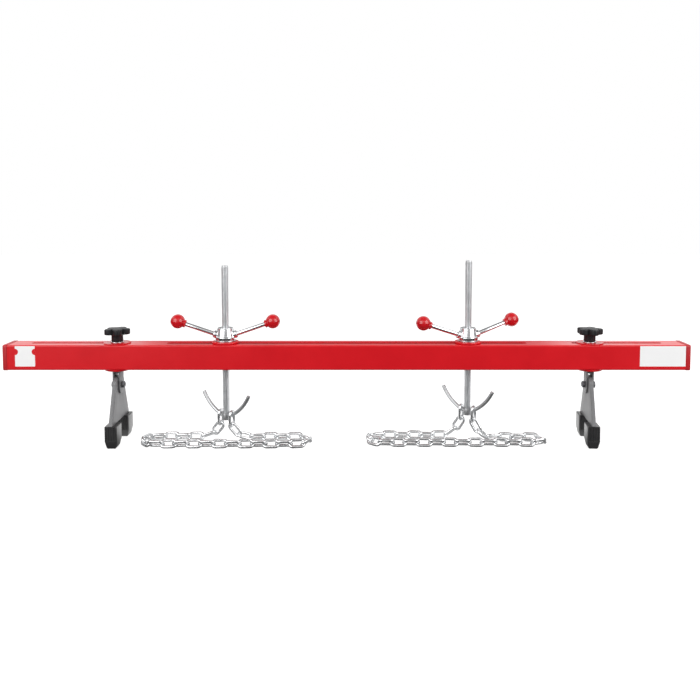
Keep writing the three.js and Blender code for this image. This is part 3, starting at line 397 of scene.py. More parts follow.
# Labels. Two thin white vinyl labels are stuck on the front of the beam near its ends. The left one
# is cut out with a round notch in each side, and both are left blank.
LABEL_THICKNESS = 0.15 * MM
LABEL_BOTTOM, LABEL_TOP = 174.5 * MM, 219.3 * MM
LEFT_LABEL = (-723 * MM, -679.5 * MM)
RIGHT_LABEL = (639.5 * MM, 739.3 * MM)
NOTCH_RADIUS = 7 * MM
NOTCH_Z = 206.5 * MM
NOTCH_STEPS = 12
VINYL_WHITE = (0.98, 0.98, 0.98)


def arc(middle, radius, start, end, steps):
    """Points of an arc as (radius, height) pairs, angles in degrees from the outward direction."""
    angles = [math.radians(start + (end - start) * i / steps) for i in range(steps + 1)]
    return [(middle[0] + radius * math.cos(a), middle[1] + radius * math.sin(a)) for a in angles]


def outline_edges(bm, points):
    """Adds a closed outline of (across, height) points in the plane x = 0 and gives its edges."""
    verts = [bm.verts.new((0, across, height)) for across, height in points]
    return [bm.edges.new(pair) for pair in zip(verts, verts[1:] + verts[:1])]


def only(kind, items):
    return [item for item in items if isinstance(item, kind)]


def thicken(bm, way):
    """Gives the flat form in bm a thickness."""
    region = bmesh.ops.extrude_face_region(bm, geom=list(bm.faces))["geom"]
    bmesh.ops.translate(bm, verts=only(bmesh.types.BMVert, region), vec=way)
    bmesh.ops.recalc_face_normals(bm, faces=bm.faces)


def moved(bm, place):
    """Moves a whole form by a matrix and gives it."""
    bmesh.ops.transform(bm, matrix=place, verts=bm.verts)
    return bm


def make_label(left, right, notch):
    bm = bmesh.new()
    sides = []
    for place, start in ((left, 90), (right, 270)):
        sides.append([(place, LABEL_TOP), (place, LABEL_BOTTOM)])
        if notch:
            sides[-1][1:1] = arc((place, NOTCH_Z), notch, start, start - 180, NOTCH_STEPS)
    edges = outline_edges(bm, sides[0] + sides[1][::-1])
    bmesh.ops.triangle_fill(bm, edges=edges, use_beauty=True)
    thicken(bm, (LABEL_THICKNESS, 0, 0))
    place = Matrix.Translation((0, beam_low.y, 0)) @ Matrix.Rotation(-math.pi / 2, 4, "Z")
    return moved(bm, place)


vinyl = surface("white_vinyl", VINYL_WHITE, roughness=0.35, drift=0.01, grain_scale=1500, grain_depth=0.003)
finish_piece(make_label(*LEFT_LABEL, NOTCH_RADIUS), "left_label", "beam", vinyl)
finish_piece(make_label(*RIGHT_LABEL, 0), "right_label", "beam", vinyl)

# End caps. A moulded red plastic cap closes each end of the beam: a flange with a rounded rim, and
# a hollow plug that grips inside the tube.
CAP_FLANGE = 9 * MM
CAP_CORNER = 4 * MM
CAP_RIM = 1.4 * MM
CAP_RIM_SEGMENTS = 4
CAP_STEP = 3.6 * MM  # from the flange's edge to the plug
CAP_PLUG_WALL = 3 * MM
CAP_PLUG_DEPTH = 20 * MM
RED_PLASTIC = (0.5, 0.006, 0.014)


def push(bm, face, step):
    """Pulls one face out of the mesh by a step and gives the new face."""
    pushed = bmesh.ops.extrude_discrete_faces(bm, faces=[face])["faces"][0]
    bmesh.ops.translate(bm, verts=pushed.verts, vec=step)
    return pushed


def half_turn(way):
    """No turn about Z where way is 1, and half a turn where it is -1."""
    return Matrix.Rotation(0 if way > 0 else math.pi, 4, "Z")


def make_end_cap(side):
    low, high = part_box(f"{side}_end_cap")
    length = high.x - low.x
    bm = bmesh.new()
    box_between(bm, Vector((0, low.y, low.z)), Vector((CAP_FLANGE, high.y, high.z)))
    corners = [edge for edge in bm.edges if runs_along(edge, X)]
    round_edges(bm, corners, CAP_CORNER, CORNER_SEGMENTS)
    front = facing(bm.faces, X, 1)[0]
    round_edges(bm, front.edges, CAP_RIM, CAP_RIM_SEGMENTS)
    back = facing(bm.faces, X, -1)[0]
    bmesh.ops.inset_individual(bm, faces=[back], thickness=CAP_STEP)
    back = push(bm, back, Vector((CAP_FLANGE - length, 0, 0)))
    bmesh.ops.inset_individual(bm, faces=[back], thickness=CAP_PLUG_WALL)
    push(bm, back, Vector((CAP_PLUG_DEPTH, 0, 0)))
    way = SIDES[side]
    outer = high.x if way > 0 else low.x
    return moved(bm, Matrix.Translation((outer - way * CAP_FLANGE, 0, 0)) @ half_turn(way))


red_plastic = surface("red_plastic", RED_PLASTIC, roughness=0.4, drift=0.03, grain_scale=1400,
                      grain_depth=0.008)
replace_pair("end_cap", make_end_cap, red_plastic)

# Discs and washers. Turned steel rings lie on and under the beam: a thick red disc under it and a
# thin one on it at each foot, a red disc under each lever nut, and plated washers on those.
ROUND_STEPS = 72
RIM_STEPS = 8
FUSED = 0.001 * MM  # vertices closer than this are merged
STUD_HOLE = 6.3 * MM
SCREW_HOLE = 8.3 * MM
# Each ring's radius, its hole, the rounding of its edges and that of its lower rim.
PAINTED_RINGS = {
    "foot_base_disc": (29.5 * MM, STUD_HOLE, 0.8 * MM, 4 * MM),
    "foot_top_disc": (29.5 * MM, STUD_HOLE, 0.4 * MM, 0),
    "hook_disc": (29 * MM, SCREW_HOLE, 0.8 * MM, 0),
}
PLATED_RINGS = {
    "foot_washer": (14.5 * MM, STUD_HOLE, 0.35 * MM, 0),
    "thrust_washer": (23 * MM, SCREW_HOLE, 0.5 * MM, 0),
}
ZINC = (0.77, 0.785, 0.8)


def lathe(outline, steps=ROUND_STEPS):
    """A solid of revolution about Z from an outline of (radius, height), which either starts and
    ends on the axis or runs round a ring."""
    bm = bmesh.new()
    points = [bm.verts.new((radius, 0, height)) for radius, height in outline]
    edges = [bm.edges.new(pair) for pair in zip(points, points[1:])]
    if outline[0][0] > 0:
        edges.append(bm.edges.new((points[-1], points[0])))
    bmesh.ops.spin(bm, geom=points + edges, axis=(0, 0, 1), angle=2 * math.pi, steps=steps,
                   use_merge=True)
    bmesh.ops.remove_doubles(bm, verts=bm.verts, dist=FUSED)
    bmesh.ops.recalc_face_normals(bm, faces=bm.faces)
    return bm


def sharp_edges(bm, angle):
    """The edges at which two faces meet at more than an angle in degrees."""
    return [edge for edge in bm.edges
            if edge.is_manifold and edge.calc_face_angle() > math.radians(angle)]


def soften(bm, width, segments=3, sharper_than=30):
    """Rounds every edge at which two faces meet sharply."""
    round_edges(bm, sharp_edges(bm, sharper_than), width, segments)


def centre_of(node):
    low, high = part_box(node)
    return (low + high) / 2


def turn_about(bm, middle, yaw=0):
    """Puts a form made round the Z axis on an upright axis through a point, turned by a yaw."""
    return moved(bm, Matrix.Translation((middle.x, middle.y, 0)) @ Matrix.Rotation(yaw, 4, "Z"))


def make_ring(node, radius, hole, edge, rim):
    low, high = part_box(node)
    outline = [(hole, low.z), (radius, low.z), (radius, high.z), (hole, high.z)]
    if rim:
        outline[1:2] = arc((radius - rim, low.z + rim), rim, -90, 0, RIM_STEPS)
    bm = lathe(outline)
    soften(bm, edge)
    return turn_about(bm, centre_of(node))


zinc = surface("zinc_plate", ZINC, roughness=0.28, metallic=1, drift=0.06, drift_scale=60, grain_scale=1600,
               grain_depth=0.006)
for side in SIDES:
    for rings, finish, slot in ((PAINTED_RINGS, red_paint, "red_paint"), (PLATED_RINGS, zinc, "zinc")):
        for name, sizes in rings.items():
            node = f"{side}_{name}"
            replace_node(make_ring(node, *sizes), node, finish)

# Clamp knobs. A moulded black plastic star with five lobes on a round stem; a steel insert is cast
# into the stem from below.
KNOB_RADIUS = 28.5 * MM
KNOB_VALLEY = 18 * MM
KNOB_LOBES = 5
KNOB_STEM = (12.75 * MM, 15.5 * MM)  # radius and height
KNOB_FOOT_EDGE = 1 * MM
KNOB_FLARE = 3.5 * MM
KNOB_EDGE = 2.4 * MM
KNOB_CROWN = 1.6 * MM
CROWN_SHARES = (0.75, 0.5, 0.25, 0)  # of the way from the middle of the crown to its rim
KNOB_BORE = 8.8 * MM
KNOB_BORE_DEPTH = 17.3 * MM
KNOB_STEPS = 120
KNOB_FOOT_STEPS, KNOB_FLARE_STEPS, KNOB_EDGE_STEPS = 3, 6, 5
FOOT_YAW = {"left": 0, "right": math.radians(-5)}
BLACK_PLASTIC = (0.016, 0.016, 0.018)


def on_foot(bm, side):
    """Puts a form made round the Z axis on a foot's axis, turned as that foot is."""
    return turn_about(bm, centre_of(f"{side}_foot_stud"), FOOT_YAW[side])


def make_knob(side):
    low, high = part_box(f"{side}_knob")
    radius, stem = KNOB_STEM
    head = low.z + stem
    rim = KNOB_RADIUS - KNOB_EDGE
    crown = high.z - KNOB_CROWN
    bore = low.z + KNOB_BORE_DEPTH
    foot = (radius - KNOB_FOOT_EDGE, low.z + KNOB_FOOT_EDGE)
    outline = [(0, bore), (KNOB_BORE, bore), (KNOB_BORE, low.z)]
    outline += arc(foot, KNOB_FOOT_EDGE, -90, 0, KNOB_FOOT_STEPS)
    outline += arc((radius + KNOB_FLARE, head - KNOB_FLARE), KNOB_FLARE, 180, 90, KNOB_FLARE_STEPS)
    outline += arc((rim, head + KNOB_EDGE), KNOB_EDGE, -90, 0, KNOB_EDGE_STEPS)
    outline += arc((rim, crown - KNOB_EDGE), KNOB_EDGE, 0, 90, KNOB_EDGE_STEPS)
    outline += [(rim * share, high.z - KNOB_CROWN * share * share) for share in CROWN_SHARES]
    bm = lathe(outline, KNOB_STEPS)
    deepest = 1 - KNOB_VALLEY / KNOB_RADIUS
    for vert in bm.verts:
        angle = math.atan2(vert.co.y, vert.co.x)
        lobe = math.sqrt((1 + math.cos(KNOB_LOBES * angle)) / 2)
        beyond = max(0, (vert.co.xy.length - radius) / (KNOB_RADIUS - radius))
        share = 1 - deepest * (1 - lobe) * beyond
        vert.co.x *= share
        vert.co.y *= share
    return on_foot(bm, side)


black_plastic = surface("black_plastic", BLACK_PLASTIC, roughness=0.42, drift=0.12, grain_scale=2200,
                        grain_depth=0.02, gloss=0.3)
replace_pair("knob", make_knob, black_plastic)
for side in SIDES:
    frame["nodes"][f"{side}_knob_insert"].material_slots[0].material = zinc

# Foot studs. An M12 stud of blackened steel with a flat T head inside the clevis; its thread runs
# up through the beam into the knob's insert.
STUD_PITCH = 1.75 * MM
STUD_RADIUS = 6 * MM
STUD_HEAD = 3.5 * MM
STUD_HEAD_HALF = Vector((4.7, 10, 0)) * MM
STUD_HEAD_EDGE = 0.5 * MM
THREAD_DEPTH = 0.61  # over pitch
THREAD_FOOT, THREAD_CREST = 0.44, 0.07  # half the width of the ridge over pitch
THREAD_SUNK = 0.25  # the part of the ridge that lies in the core, over its depth
THREAD_PLAIN = 2  # turns at the rod's ends that have no ridge
THREAD_STEPS = 20
BLACK_STEEL = (0.17, 0.172, 0.185)


def add_mesh(bm, other):
    """Puts another form into bm and frees it."""
    carried = mesh_of(other, "carried")
    bm.from_mesh(carried)
    bpy.data.meshes.remove(carried)


def add_copy(bm, mesh, place):
    """Puts a copy of a mesh into bm, moved by a matrix."""
    before = len(bm.verts)
    bm.from_mesh(mesh)
    bmesh.ops.transform(bm, matrix=place, verts=bm.verts[before:])


def threaded_rod(radius, pitch, bottom, top):
    """A closed core with a point at its top edge, and a closed ridge wound round it."""
    depth = pitch * THREAD_DEPTH
    core = radius - depth
    bm = lathe([(0, bottom), (core, bottom), (core, top - pitch), (core - pitch / 2, top), (0, top)],
               THREAD_STEPS * 2)
    foot, crest = pitch * THREAD_FOOT, pitch * THREAD_CREST
    sunk = core - depth * THREAD_SUNK
    section = [(sunk, -foot), (radius, -crest), (radius, crest), (sunk, foot)]
    turn = bmesh.new()
    verts = [turn.verts.new((reach, 0, height)) for reach, height in section]
    edges = [turn.edges.new(pair) for pair in zip(verts, verts[1:] + verts[:1])]
    bmesh.ops.spin(turn, geom=verts + edges, axis=(0, 0, 1), dvec=(0, 0, pitch / THREAD_STEPS),
                   angle=2 * math.pi, steps=THREAD_STEPS)
    carried = mesh_of(turn, "turn")
    ridge = bmesh.new()
    for i in range(int((top - bottom) / pitch - THREAD_PLAIN)):
        add_copy(ridge, carried, Matrix.Translation((0, 0, bottom + pitch * (i + 0.5))))
    bpy.data.meshes.remove(carried)
    bmesh.ops.remove_doubles(ridge, verts=ridge.verts, dist=FUSED)
    bmesh.ops.holes_fill(ridge, edges=ridge.edges)
    add_mesh(bm, ridge)
    return bm


def make_stud(side):
    low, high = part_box(f"{side}_foot_stud")
    bm = threaded_rod(STUD_RADIUS, STUD_PITCH, low.z + STUD_HEAD / 2, high.z)
    head = bmesh.new()
    foot = Vector((0, 0, low.z))
    box_between(head, foot - STUD_HEAD_HALF, foot + STUD_HEAD_HALF + Vector((0, 0, STUD_HEAD)))
    soften(head, STUD_HEAD_EDGE)
    add_mesh(bm, head)
    return on_foot(bm, side)


black_steel = surface("black_steel", BLACK_STEEL, roughness=0.45, metallic=0.5, drift=0.1, drift_scale=80,
                      grain_scale=1500, grain_depth=0.008)
replace_pair("foot_stud", make_stud, black_steel, crease=24)

# Clevises. A strap of grey painted steel bent to an inverted U under each base disc, its cheeks
# rounded at the bottom and drilled for the pivot bolt.
CLEVIS_DEPTH = 30 * MM
CLEVIS_STRAP = 3 * MM
CLEVIS_WIDTH = 16 * MM
CLEVIS_BEND = 3.3 * MM
CLEVIS_TAIL = 20 * MM
CLEVIS_EDGE = 0.35 * MM
CLEVIS_STEPS = 20
BEND_STEPS = 6
PIVOT_HOLE = 4.3 * MM
HOLE_STEPS = 28
PIVOT_Z = 128 * MM
# Takes a form made up the Z axis onto the pivot's middle line, towards +X.
PIVOT_LINE = Matrix.Translation((0, 0, PIVOT_Z)) @ Matrix.Rotation(math.pi / 2, 4, "Y")
GREY_PAINT = (0.2, 0.2, 0.205)


def drilled_plate(points, thickness):
    """A plate of an outline in the YZ plane with the pivot's hole, from x = 0 to x = thickness."""
    bm = bmesh.new()
    edges = outline_edges(bm, points)
    hole = bmesh.ops.create_circle(bm, segments=HOLE_STEPS, radius=PIVOT_HOLE, matrix=PIVOT_LINE)
    edges += list({edge for vert in hole["verts"] for edge in vert.link_edges})
    bmesh.ops.triangle_fill(bm, edges=edges, use_beauty=True)
    thicken(bm, (thickness, 0, 0))
    return bm


def make_clevis(side):
    bend_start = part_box(f"{side}_clevis")[1].z - CLEVIS_BEND
    half = CLEVIS_DEPTH / 2
    points = arc((0, PIVOT_Z - CLEVIS_TAIL + half), half, 180, 360, CLEVIS_STEPS)
    points += [(half, bend_start), (-half, bend_start)]
    bm = drilled_plate(points, CLEVIS_STRAP)
    bmesh.ops.translate(bm, verts=bm.verts, vec=(-CLEVIS_WIDTH / 2, 0, 0))
    upper = max(facing(bm.faces, Z, 1), key=lambda face: face.calc_center_median().z)
    bent = bmesh.ops.spin(bm, geom=[*upper.verts, *upper.edges, upper],
                          cent=(CLEVIS_BEND - CLEVIS_WIDTH / 2, 0, bend_start), axis=(0, 1, 0),
                          angle=math.pi / 2, steps=BEND_STEPS)["geom_last"]
    last = only(bmesh.types.BMFace, bent)[0]
    bridge = push(bm, last, Vector((CLEVIS_WIDTH / 2 - CLEVIS_BEND, 0, 0)))
    bmesh.ops.delete(bm, geom=[bridge], context="FACES_ONLY")
    bmesh.ops.mirror(bm, geom=[*bm.verts, *bm.edges, *bm.faces], axis="X", merge_dist=FUSED)
    bmesh.ops.recalc_face_normals(bm, faces=bm.faces)
    soften(bm, CLEVIS_EDGE, segments=2)
    return on_foot(bm, side)


grey_paint = surface("grey_paint", GREY_PAINT, roughness=0.48, metallic=0.2, drift=0.08, grain_scale=1100,
                     grain_depth=0.02)
replace_pair("clevis", make_clevis, grey_paint)

# Leg plates. A forked steel plate hangs on each pivot bolt: an ear with round shoulders, sides that
# spread to the boots and a prong down into each of them. Grey painted, its edges broken.
LEG_THICKNESS = 8.5 * MM
LEG_TOP = 19 * MM  # over the pivot
LEG_EAR_HALF = 31 * MM
LEG_SHOULDER = 17 * MM
BOOT_SPREAD = 45 * MM
BOOT_DEPTH = 38 * MM
BOOT_TOP = 50 * MM
PRONG_HALF = 12 * MM
PRONG_BOTTOM = 10 * MM
LEG_EDGE = 0.7 * MM
SHOULDER_STEPS = 12
SEAT_GAP = 0.3 * MM  # between pieces that touch on the real object


def make_leg_plate(side):
    crotch = BOOT_TOP + SEAT_GAP
    near, far = BOOT_SPREAD - PRONG_HALF, BOOT_SPREAD + PRONG_HALF
    half = [(near, crotch), (near, PRONG_BOTTOM), (far, PRONG_BOTTOM), (far, crotch)]
    half.append((BOOT_SPREAD + BOOT_DEPTH / 2, crotch))
    shoulder = (LEG_EAR_HALF - LEG_SHOULDER, PIVOT_Z + LEG_TOP - LEG_SHOULDER)
    half += arc(shoulder, LEG_SHOULDER, 0, 90, SHOULDER_STEPS)
    bm = drilled_plate(half + [(-y, z) for y, z in reversed(half)], LEG_THICKNESS)
    bmesh.ops.translate(bm, verts=bm.verts, vec=(-LEG_THICKNESS / 2, 0, 0))
    soften(bm, LEG_EDGE, sharper_than=20)
    return on_foot(bm, side)


replace_pair("leg_plate", make_leg_plate, grey_paint)

# Pivot bolts. An M8 hex bolt and nut of blackened steel across each clevis; the head is on the
# outer side, and the bolt's end stands a little out of the nut.
PIVOT_RADIUS = 4 * MM
PIVOT_HEX = 13 * MM  # across flats
PIVOT_HEAD = 5.3 * MM
PIVOT_NUT = 6.5 * MM
PIVOT_END = 1.3 * MM
PIVOT_IN_HEAD = 1 * MM
PIVOT_EDGE = 1 / 8  # the rounding of the edges, over the rod's radius or the block's height
PIVOT_STEPS = 32
PIVOT_SEAT = CLEVIS_WIDTH / 2 + SEAT_GAP


def rod(radius, start, end, steps):
    """A plain round bar up the Z axis."""
    return lathe([(0, start), (radius, start), (radius, end), (0, end)], steps)


def hex_block(low, high):
    """A hexagonal block up the Z axis, its corners chamfered."""
    bm = bmesh.new()
    corner = PIVOT_HEX / math.sqrt(3)
    place = Matrix.Translation((0, 0, (low + high) / 2))
    bmesh.ops.create_cone(bm, cap_ends=True, segments=6, radius1=corner, radius2=corner,
                          depth=high - low, matrix=place)
    soften(bm, (high - low) * PIVOT_EDGE, segments=2, sharper_than=70)
    return bm


def on_pivot(bm, side, way):
    """Lays a form made up the Z axis along a foot's pivot, its upper end outward."""
    return on_foot(moved(bm, half_turn(way) @ PIVOT_LINE), side)


for side, way in SIDES.items():
    end = PIVOT_SEAT + PIVOT_NUT + PIVOT_END
    bolt = rod(PIVOT_RADIUS, -end, PIVOT_SEAT + PIVOT_IN_HEAD, PIVOT_STEPS)
    soften(bolt, PIVOT_RADIUS * PIVOT_EDGE)
    add_mesh(bolt, hex_block(PIVOT_SEAT, PIVOT_SEAT + PIVOT_HEAD))
    replace_node(on_pivot(bolt, side, way), f"{side}_pivot_bolt", black_steel)
    nut = hex_block(-PIVOT_SEAT - PIVOT_NUT, -PIVOT_SEAT)
    replace_node(on_pivot(nut, side, way), f"{side}_pivot_nut", black_steel)

# Boots. A moulded rubber shoe on each prong, tapered to its sole, with a lip round its mouth and
# upright ribs on its front and back.
BOOT_WIDTH = 27 * MM
BOOT_TAPER = 17 * MM
BOOT_SOLE = (19.5 * MM, 29 * MM)
BOOT_CORNER = 2.5 * MM
BOOT_LIP = 1.5 * MM
BOOT_TOE = 4 * MM
BOOT_SEGMENTS = 4
TOE_SEGMENTS = 5
LIP_ANGLE = 40  # the least angle in degrees of an edge that the lip rounds
BOOT_RIBS = 4
RIB_FLAT, RIB_SLOPE = 1 / 9, 1 / 3.4  # over the distance of two ribs
BOOT_GROOVE = 1.6 * MM
POCKET = (9.1 * MM, 24.6 * MM)
POCKET_FLOOR = 9.7 * MM
RUBBER = (0.03, 0.03, 0.031)


def cut_across(bm, faces, axis, place):
    """Cuts faces at one place on an axis."""
    edges = {edge for face in faces for edge in face.edges}
    verts = {vert for face in faces for vert in face.verts}
    point, normal = Vector(), Vector()
    point[axis], normal[axis] = place, 1
    bmesh.ops.bisect_plane(bm, geom=[*faces, *edges, *verts], plane_co=point, plane_no=normal,
                           dist=FUSED)


def ribbed_faces(bm):
    """The upright faces of a boot's front and back, over its taper."""
    return [face for way in (-1, 1) for face in facing(bm.faces, Y, way)
            if abs(face.calc_center_median().y) > BOOT_DEPTH / 2 - NEAR]


def make_boot(side, away):
    """away is -1 for the front boot and 1 for the rear one."""
    bm = bmesh.new()
    half = Vector((BOOT_WIDTH / 2, BOOT_DEPTH / 2, 0))
    box_between(bm, -half, half + Vector((0, 0, BOOT_TOP)))
    corners = [edge for edge in bm.edges if runs_along(edge, Z)]
    round_edges(bm, corners, BOOT_CORNER, BOOT_SEGMENTS)
    cut_across(bm, list(bm.faces), Z, BOOT_TAPER)
    for vert in bm.verts:
        if vert.co.z < NEAR:
            vert.co.x *= BOOT_SOLE[0] / BOOT_WIDTH
            vert.co.y *= BOOT_SOLE[1] / BOOT_DEPTH
    mouth = facing(bm.faces, Z, 1)[0]
    bmesh.ops.inset_individual(bm, faces=[mouth], thickness=half.y - POCKET[1] / 2)
    for vert in mouth.verts:
        vert.co.x = math.copysign(POCKET[0] / 2, vert.co.x)
        vert.co.y = math.copysign(POCKET[1] / 2, vert.co.y)
    bmesh.ops.remove_doubles(bm, verts=bm.verts, dist=FUSED)
    mouth = min(facing(bm.faces, Z, 1), key=lambda face: face.calc_center_median().xy.length)
    push(bm, mouth, Vector((0, 0, POCKET_FLOOR - BOOT_TOP)))
    rib = (BOOT_WIDTH - 2 * BOOT_CORNER) / BOOT_RIBS
    for i in range(1, BOOT_RIBS):
        cut_across(bm, ribbed_faces(bm), X, (i - BOOT_RIBS / 2) * rib)
    ribs = ribbed_faces(bm)
    bmesh.ops.inset_individual(bm, faces=ribs, thickness=rib * RIB_FLAT)
    bmesh.ops.inset_individual(bm, faces=ribs, thickness=rib * RIB_SLOPE, depth=-BOOT_GROOVE)
    bmesh.ops.recalc_face_normals(bm, faces=bm.faces)
    rim = [edge for edge in sharp_edges(bm, LIP_ANGLE)
           if all(vert.co.z > BOOT_TOP - NEAR for vert in edge.verts)]
    round_edges(bm, rim, BOOT_LIP, BOOT_SEGMENTS)
    sole = facing(bm.faces, Z, -1)[0]
    round_edges(bm, sole.edges, BOOT_TOE, TOE_SEGMENTS)
    bmesh.ops.translate(bm, verts=bm.verts, vec=(0, away * BOOT_SPREAD, 0))
    return on_foot(bm, side)


rubber = surface("black_rubber", RUBBER, roughness=0.33, drift=0.15, drift_scale=45, grain_scale=1800,
                 grain_depth=0.03, gloss=1)
for side in SIDES:
    for place, away in (("front", -1), ("rear", 1)):
        node = f"{side}_{place}_boot"
        replace_node(make_boot(side, away), node, rubber)

# Lever nuts. A turned steel nut with a collar at its foot and a tapered body, a boss welded on for
# each lever, and bright zinc over all.
NUT_BASE = 22 * MM
NUT_TOP = 17 * MM
NUT_COLLAR = 7 * MM
NUT_SHOULDER = 2 * MM
NUT_EDGE = 0.9 * MM
LEVER_TILT = math.radians(18.8)
LEVER_ROOT = Vector((20 * MM, 0, 11.6 * MM))  # from the screw's axis at the nut's foot
LEVER_IN_NUT = 7 * MM
LEVER_BOSS = (8.5 * MM, 6 * MM)  # radius, and how far it stands out
BOSS_EDGE = 1.2 * MM
BOSS_STEPS = 48
LEVER_YAW = {"left": 0, "right": math.radians(15)}
BRIGHT_ZINC = (0.86, 0.87, 0.885)


def on_lever(bm, side, way):
    """Puts a form made up the Z axis on a lever's middle line, its origin where that line leaves
    the nut. way is 1 for the lever towards +X."""
    root = LEVER_ROOT + Vector((0, 0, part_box(f"{side}_lever_nut")[0].z))
    lean = Matrix.Translation(root) @ Matrix.Rotation(math.pi / 2 - LEVER_TILT, 4, "Y")
    moved(bm, half_turn(way) @ lean)
    return turn_about(bm, centre_of(f"{side}_lift_screw"), LEVER_YAW[side])


def make_lever_nut(side):
    low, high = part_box(f"{side}_lever_nut")
    collar = low.z + NUT_COLLAR
    bm = lathe([(SCREW_HOLE, low.z), (NUT_BASE, low.z), (NUT_BASE, collar),
                (NUT_BASE - NUT_SHOULDER, collar + NUT_SHOULDER), (NUT_TOP, high.z),
                (SCREW_HOLE, high.z)])
    soften(bm, NUT_EDGE, segments=4, sharper_than=25)
    turn_about(bm, centre_of(f"{side}_lift_screw"), LEVER_YAW[side])
    radius, proud = LEVER_BOSS
    for way in (-1, 1):
        boss = rod(radius, -LEVER_IN_NUT, proud, BOSS_STEPS)
        soften(boss, BOSS_EDGE, segments=4)
        add_mesh(bm, on_lever(boss, side, way))
    return bm


bright_zinc = surface("bright_zinc", BRIGHT_ZINC, roughness=0.16, metallic=1, drift=0.05, drift_scale=90,
                      grain_scale=900, grain_depth=0.01)
replace_pair("lever_nut", make_lever_nut, bright_zinc)

# Levers. A plain round steel bar, plated in bright zinc, stands welded in each of the nut's bosses.
# Its outer end is screwed into a ball.
LEVER_RADIUS = 5 * MM
LEVER_EDGE = 0.6 * MM
LEVER_STEPS = 40
BALL_REACH = 105 * MM
BALL_RADIUS = 16 * MM
LEVER_IN_BALL = 10 * MM
BALL_DISTANCE = (BALL_REACH - LEVER_ROOT.x) / math.cos(LEVER_TILT)
LEVERS = [(side, name, way) for side, outward in SIDES.items()
          for name, way in (("outer", outward), ("inner", -outward))]

for side, name, way in LEVERS:
    end = BALL_DISTANCE - BALL_RADIUS + LEVER_IN_BALL
    lever = rod(LEVER_RADIUS, -LEVER_IN_NUT, end, LEVER_STEPS)
    soften(lever, LEVER_EDGE)
    replace_node(on_lever(lever, side, way), f"{side}_{name}_lever", bright_zinc)

# Balls. A glossy red plastic ball with a short neck is screwed onto the end of each lever. It is
# moulded solid, and the neck is bored for the bar.
BALL_NECK = (8.5 * MM, 2.5 * MM)  # radius, and how far it stands out of the ball
BALL_MOUTH = 5.4 * MM
NECK_EDGE = 0.6 * MM
BALL_STEPS = 28
BALL_RED = (0.6, 0.006, 0.012)

ball_red = surface("ball_red", BALL_RED, roughness=0.14, drift=0.04, grain_scale=500, grain_depth=0.004,
                   coat=0.5)


def make_ball():
    """A ball at its distance up the Z axis, its neck downward and bored for the lever's end."""
    neck, proud = BALL_NECK
    foot = -BALL_RADIUS - proud
    bore = -BALL_RADIUS + LEVER_IN_BALL + SEAT_GAP
    start = math.degrees(math.acos(neck / BALL_RADIUS))
    outline = [(0, bore), (BALL_MOUTH, bore), (BALL_MOUTH, foot), (neck - NECK_EDGE, foot)]
    outline.append((neck, foot + NECK_EDGE))
    outline += arc((0, 0), BALL_RADIUS, -start, 90, BALL_STEPS)
    outline[-1] = (0, BALL_RADIUS)
    return lathe([(radius, BALL_DISTANCE + height) for radius, height in outline])


for side, name, way in LEVERS:
    ball = on_lever(make_ball(), side, way)
    replace_node(ball, f"{side}_{name}_ball", ball_red, crease=40)

# Lifting screws. An M16 threaded rod, plated with zinc, held up by the lever nut and welded into the
# hook's hub at its foot.
SCREW_RADIUS = 8 * MM
SCREW_PITCH = 2 * MM
DULL_ZINC = (0.8, 0.81, 0.82)

dull_zinc = surface("dull_zinc", DULL_ZINC, roughness=0.36, metallic=1, drift=0.06, drift_scale=70,
                    grain_scale=1300, grain_depth=0.012)


def make_screw(side):
    node = f"{side}_lift_screw"
    low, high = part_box(node)
    screw = threaded_rod(SCREW_RADIUS, SCREW_PITCH, low.z, high.z)
    return turn_about(screw, centre_of(node))


replace_pair("lift_screw", make_screw, dull_zinc, crease=24)

# Double hooks. Two round bars bent up to either side and welded into a hub, which holds the foot of
# the screw; the ends of the bars are cut square and their edges broken.
HOOK_BAR = 4.25 * MM
BAR_SIDES = 24
BAR_STEPS = 24
BAR_EDGE = 0.5 * MM
HOOK_HUB = (10.5 * MM, 15 * MM)  # radius and height
HUB_EDGE = 0.75 * MM
HUB_STEPS = 48
HOOK_ROOT = (6 * MM, 7 * MM)  # reach from the screw and height over the hub's underside
HOOK_REACH = 60 * MM
HOOK_SLOPES = (math.radians(22), math.radians(65))
HOOK_YAW = {"left": math.radians(-26), "right": math.radians(-34)}
HOOK_BEND = (HOOK_REACH - HOOK_ROOT[0]) / (math.sin(HOOK_SLOPES[1]) - math.sin(HOOK_SLOPES[0]))
HUB_SOCKET = 3.2 * MM
HOOK_ZINC = (0.6, 0.61, 0.62)


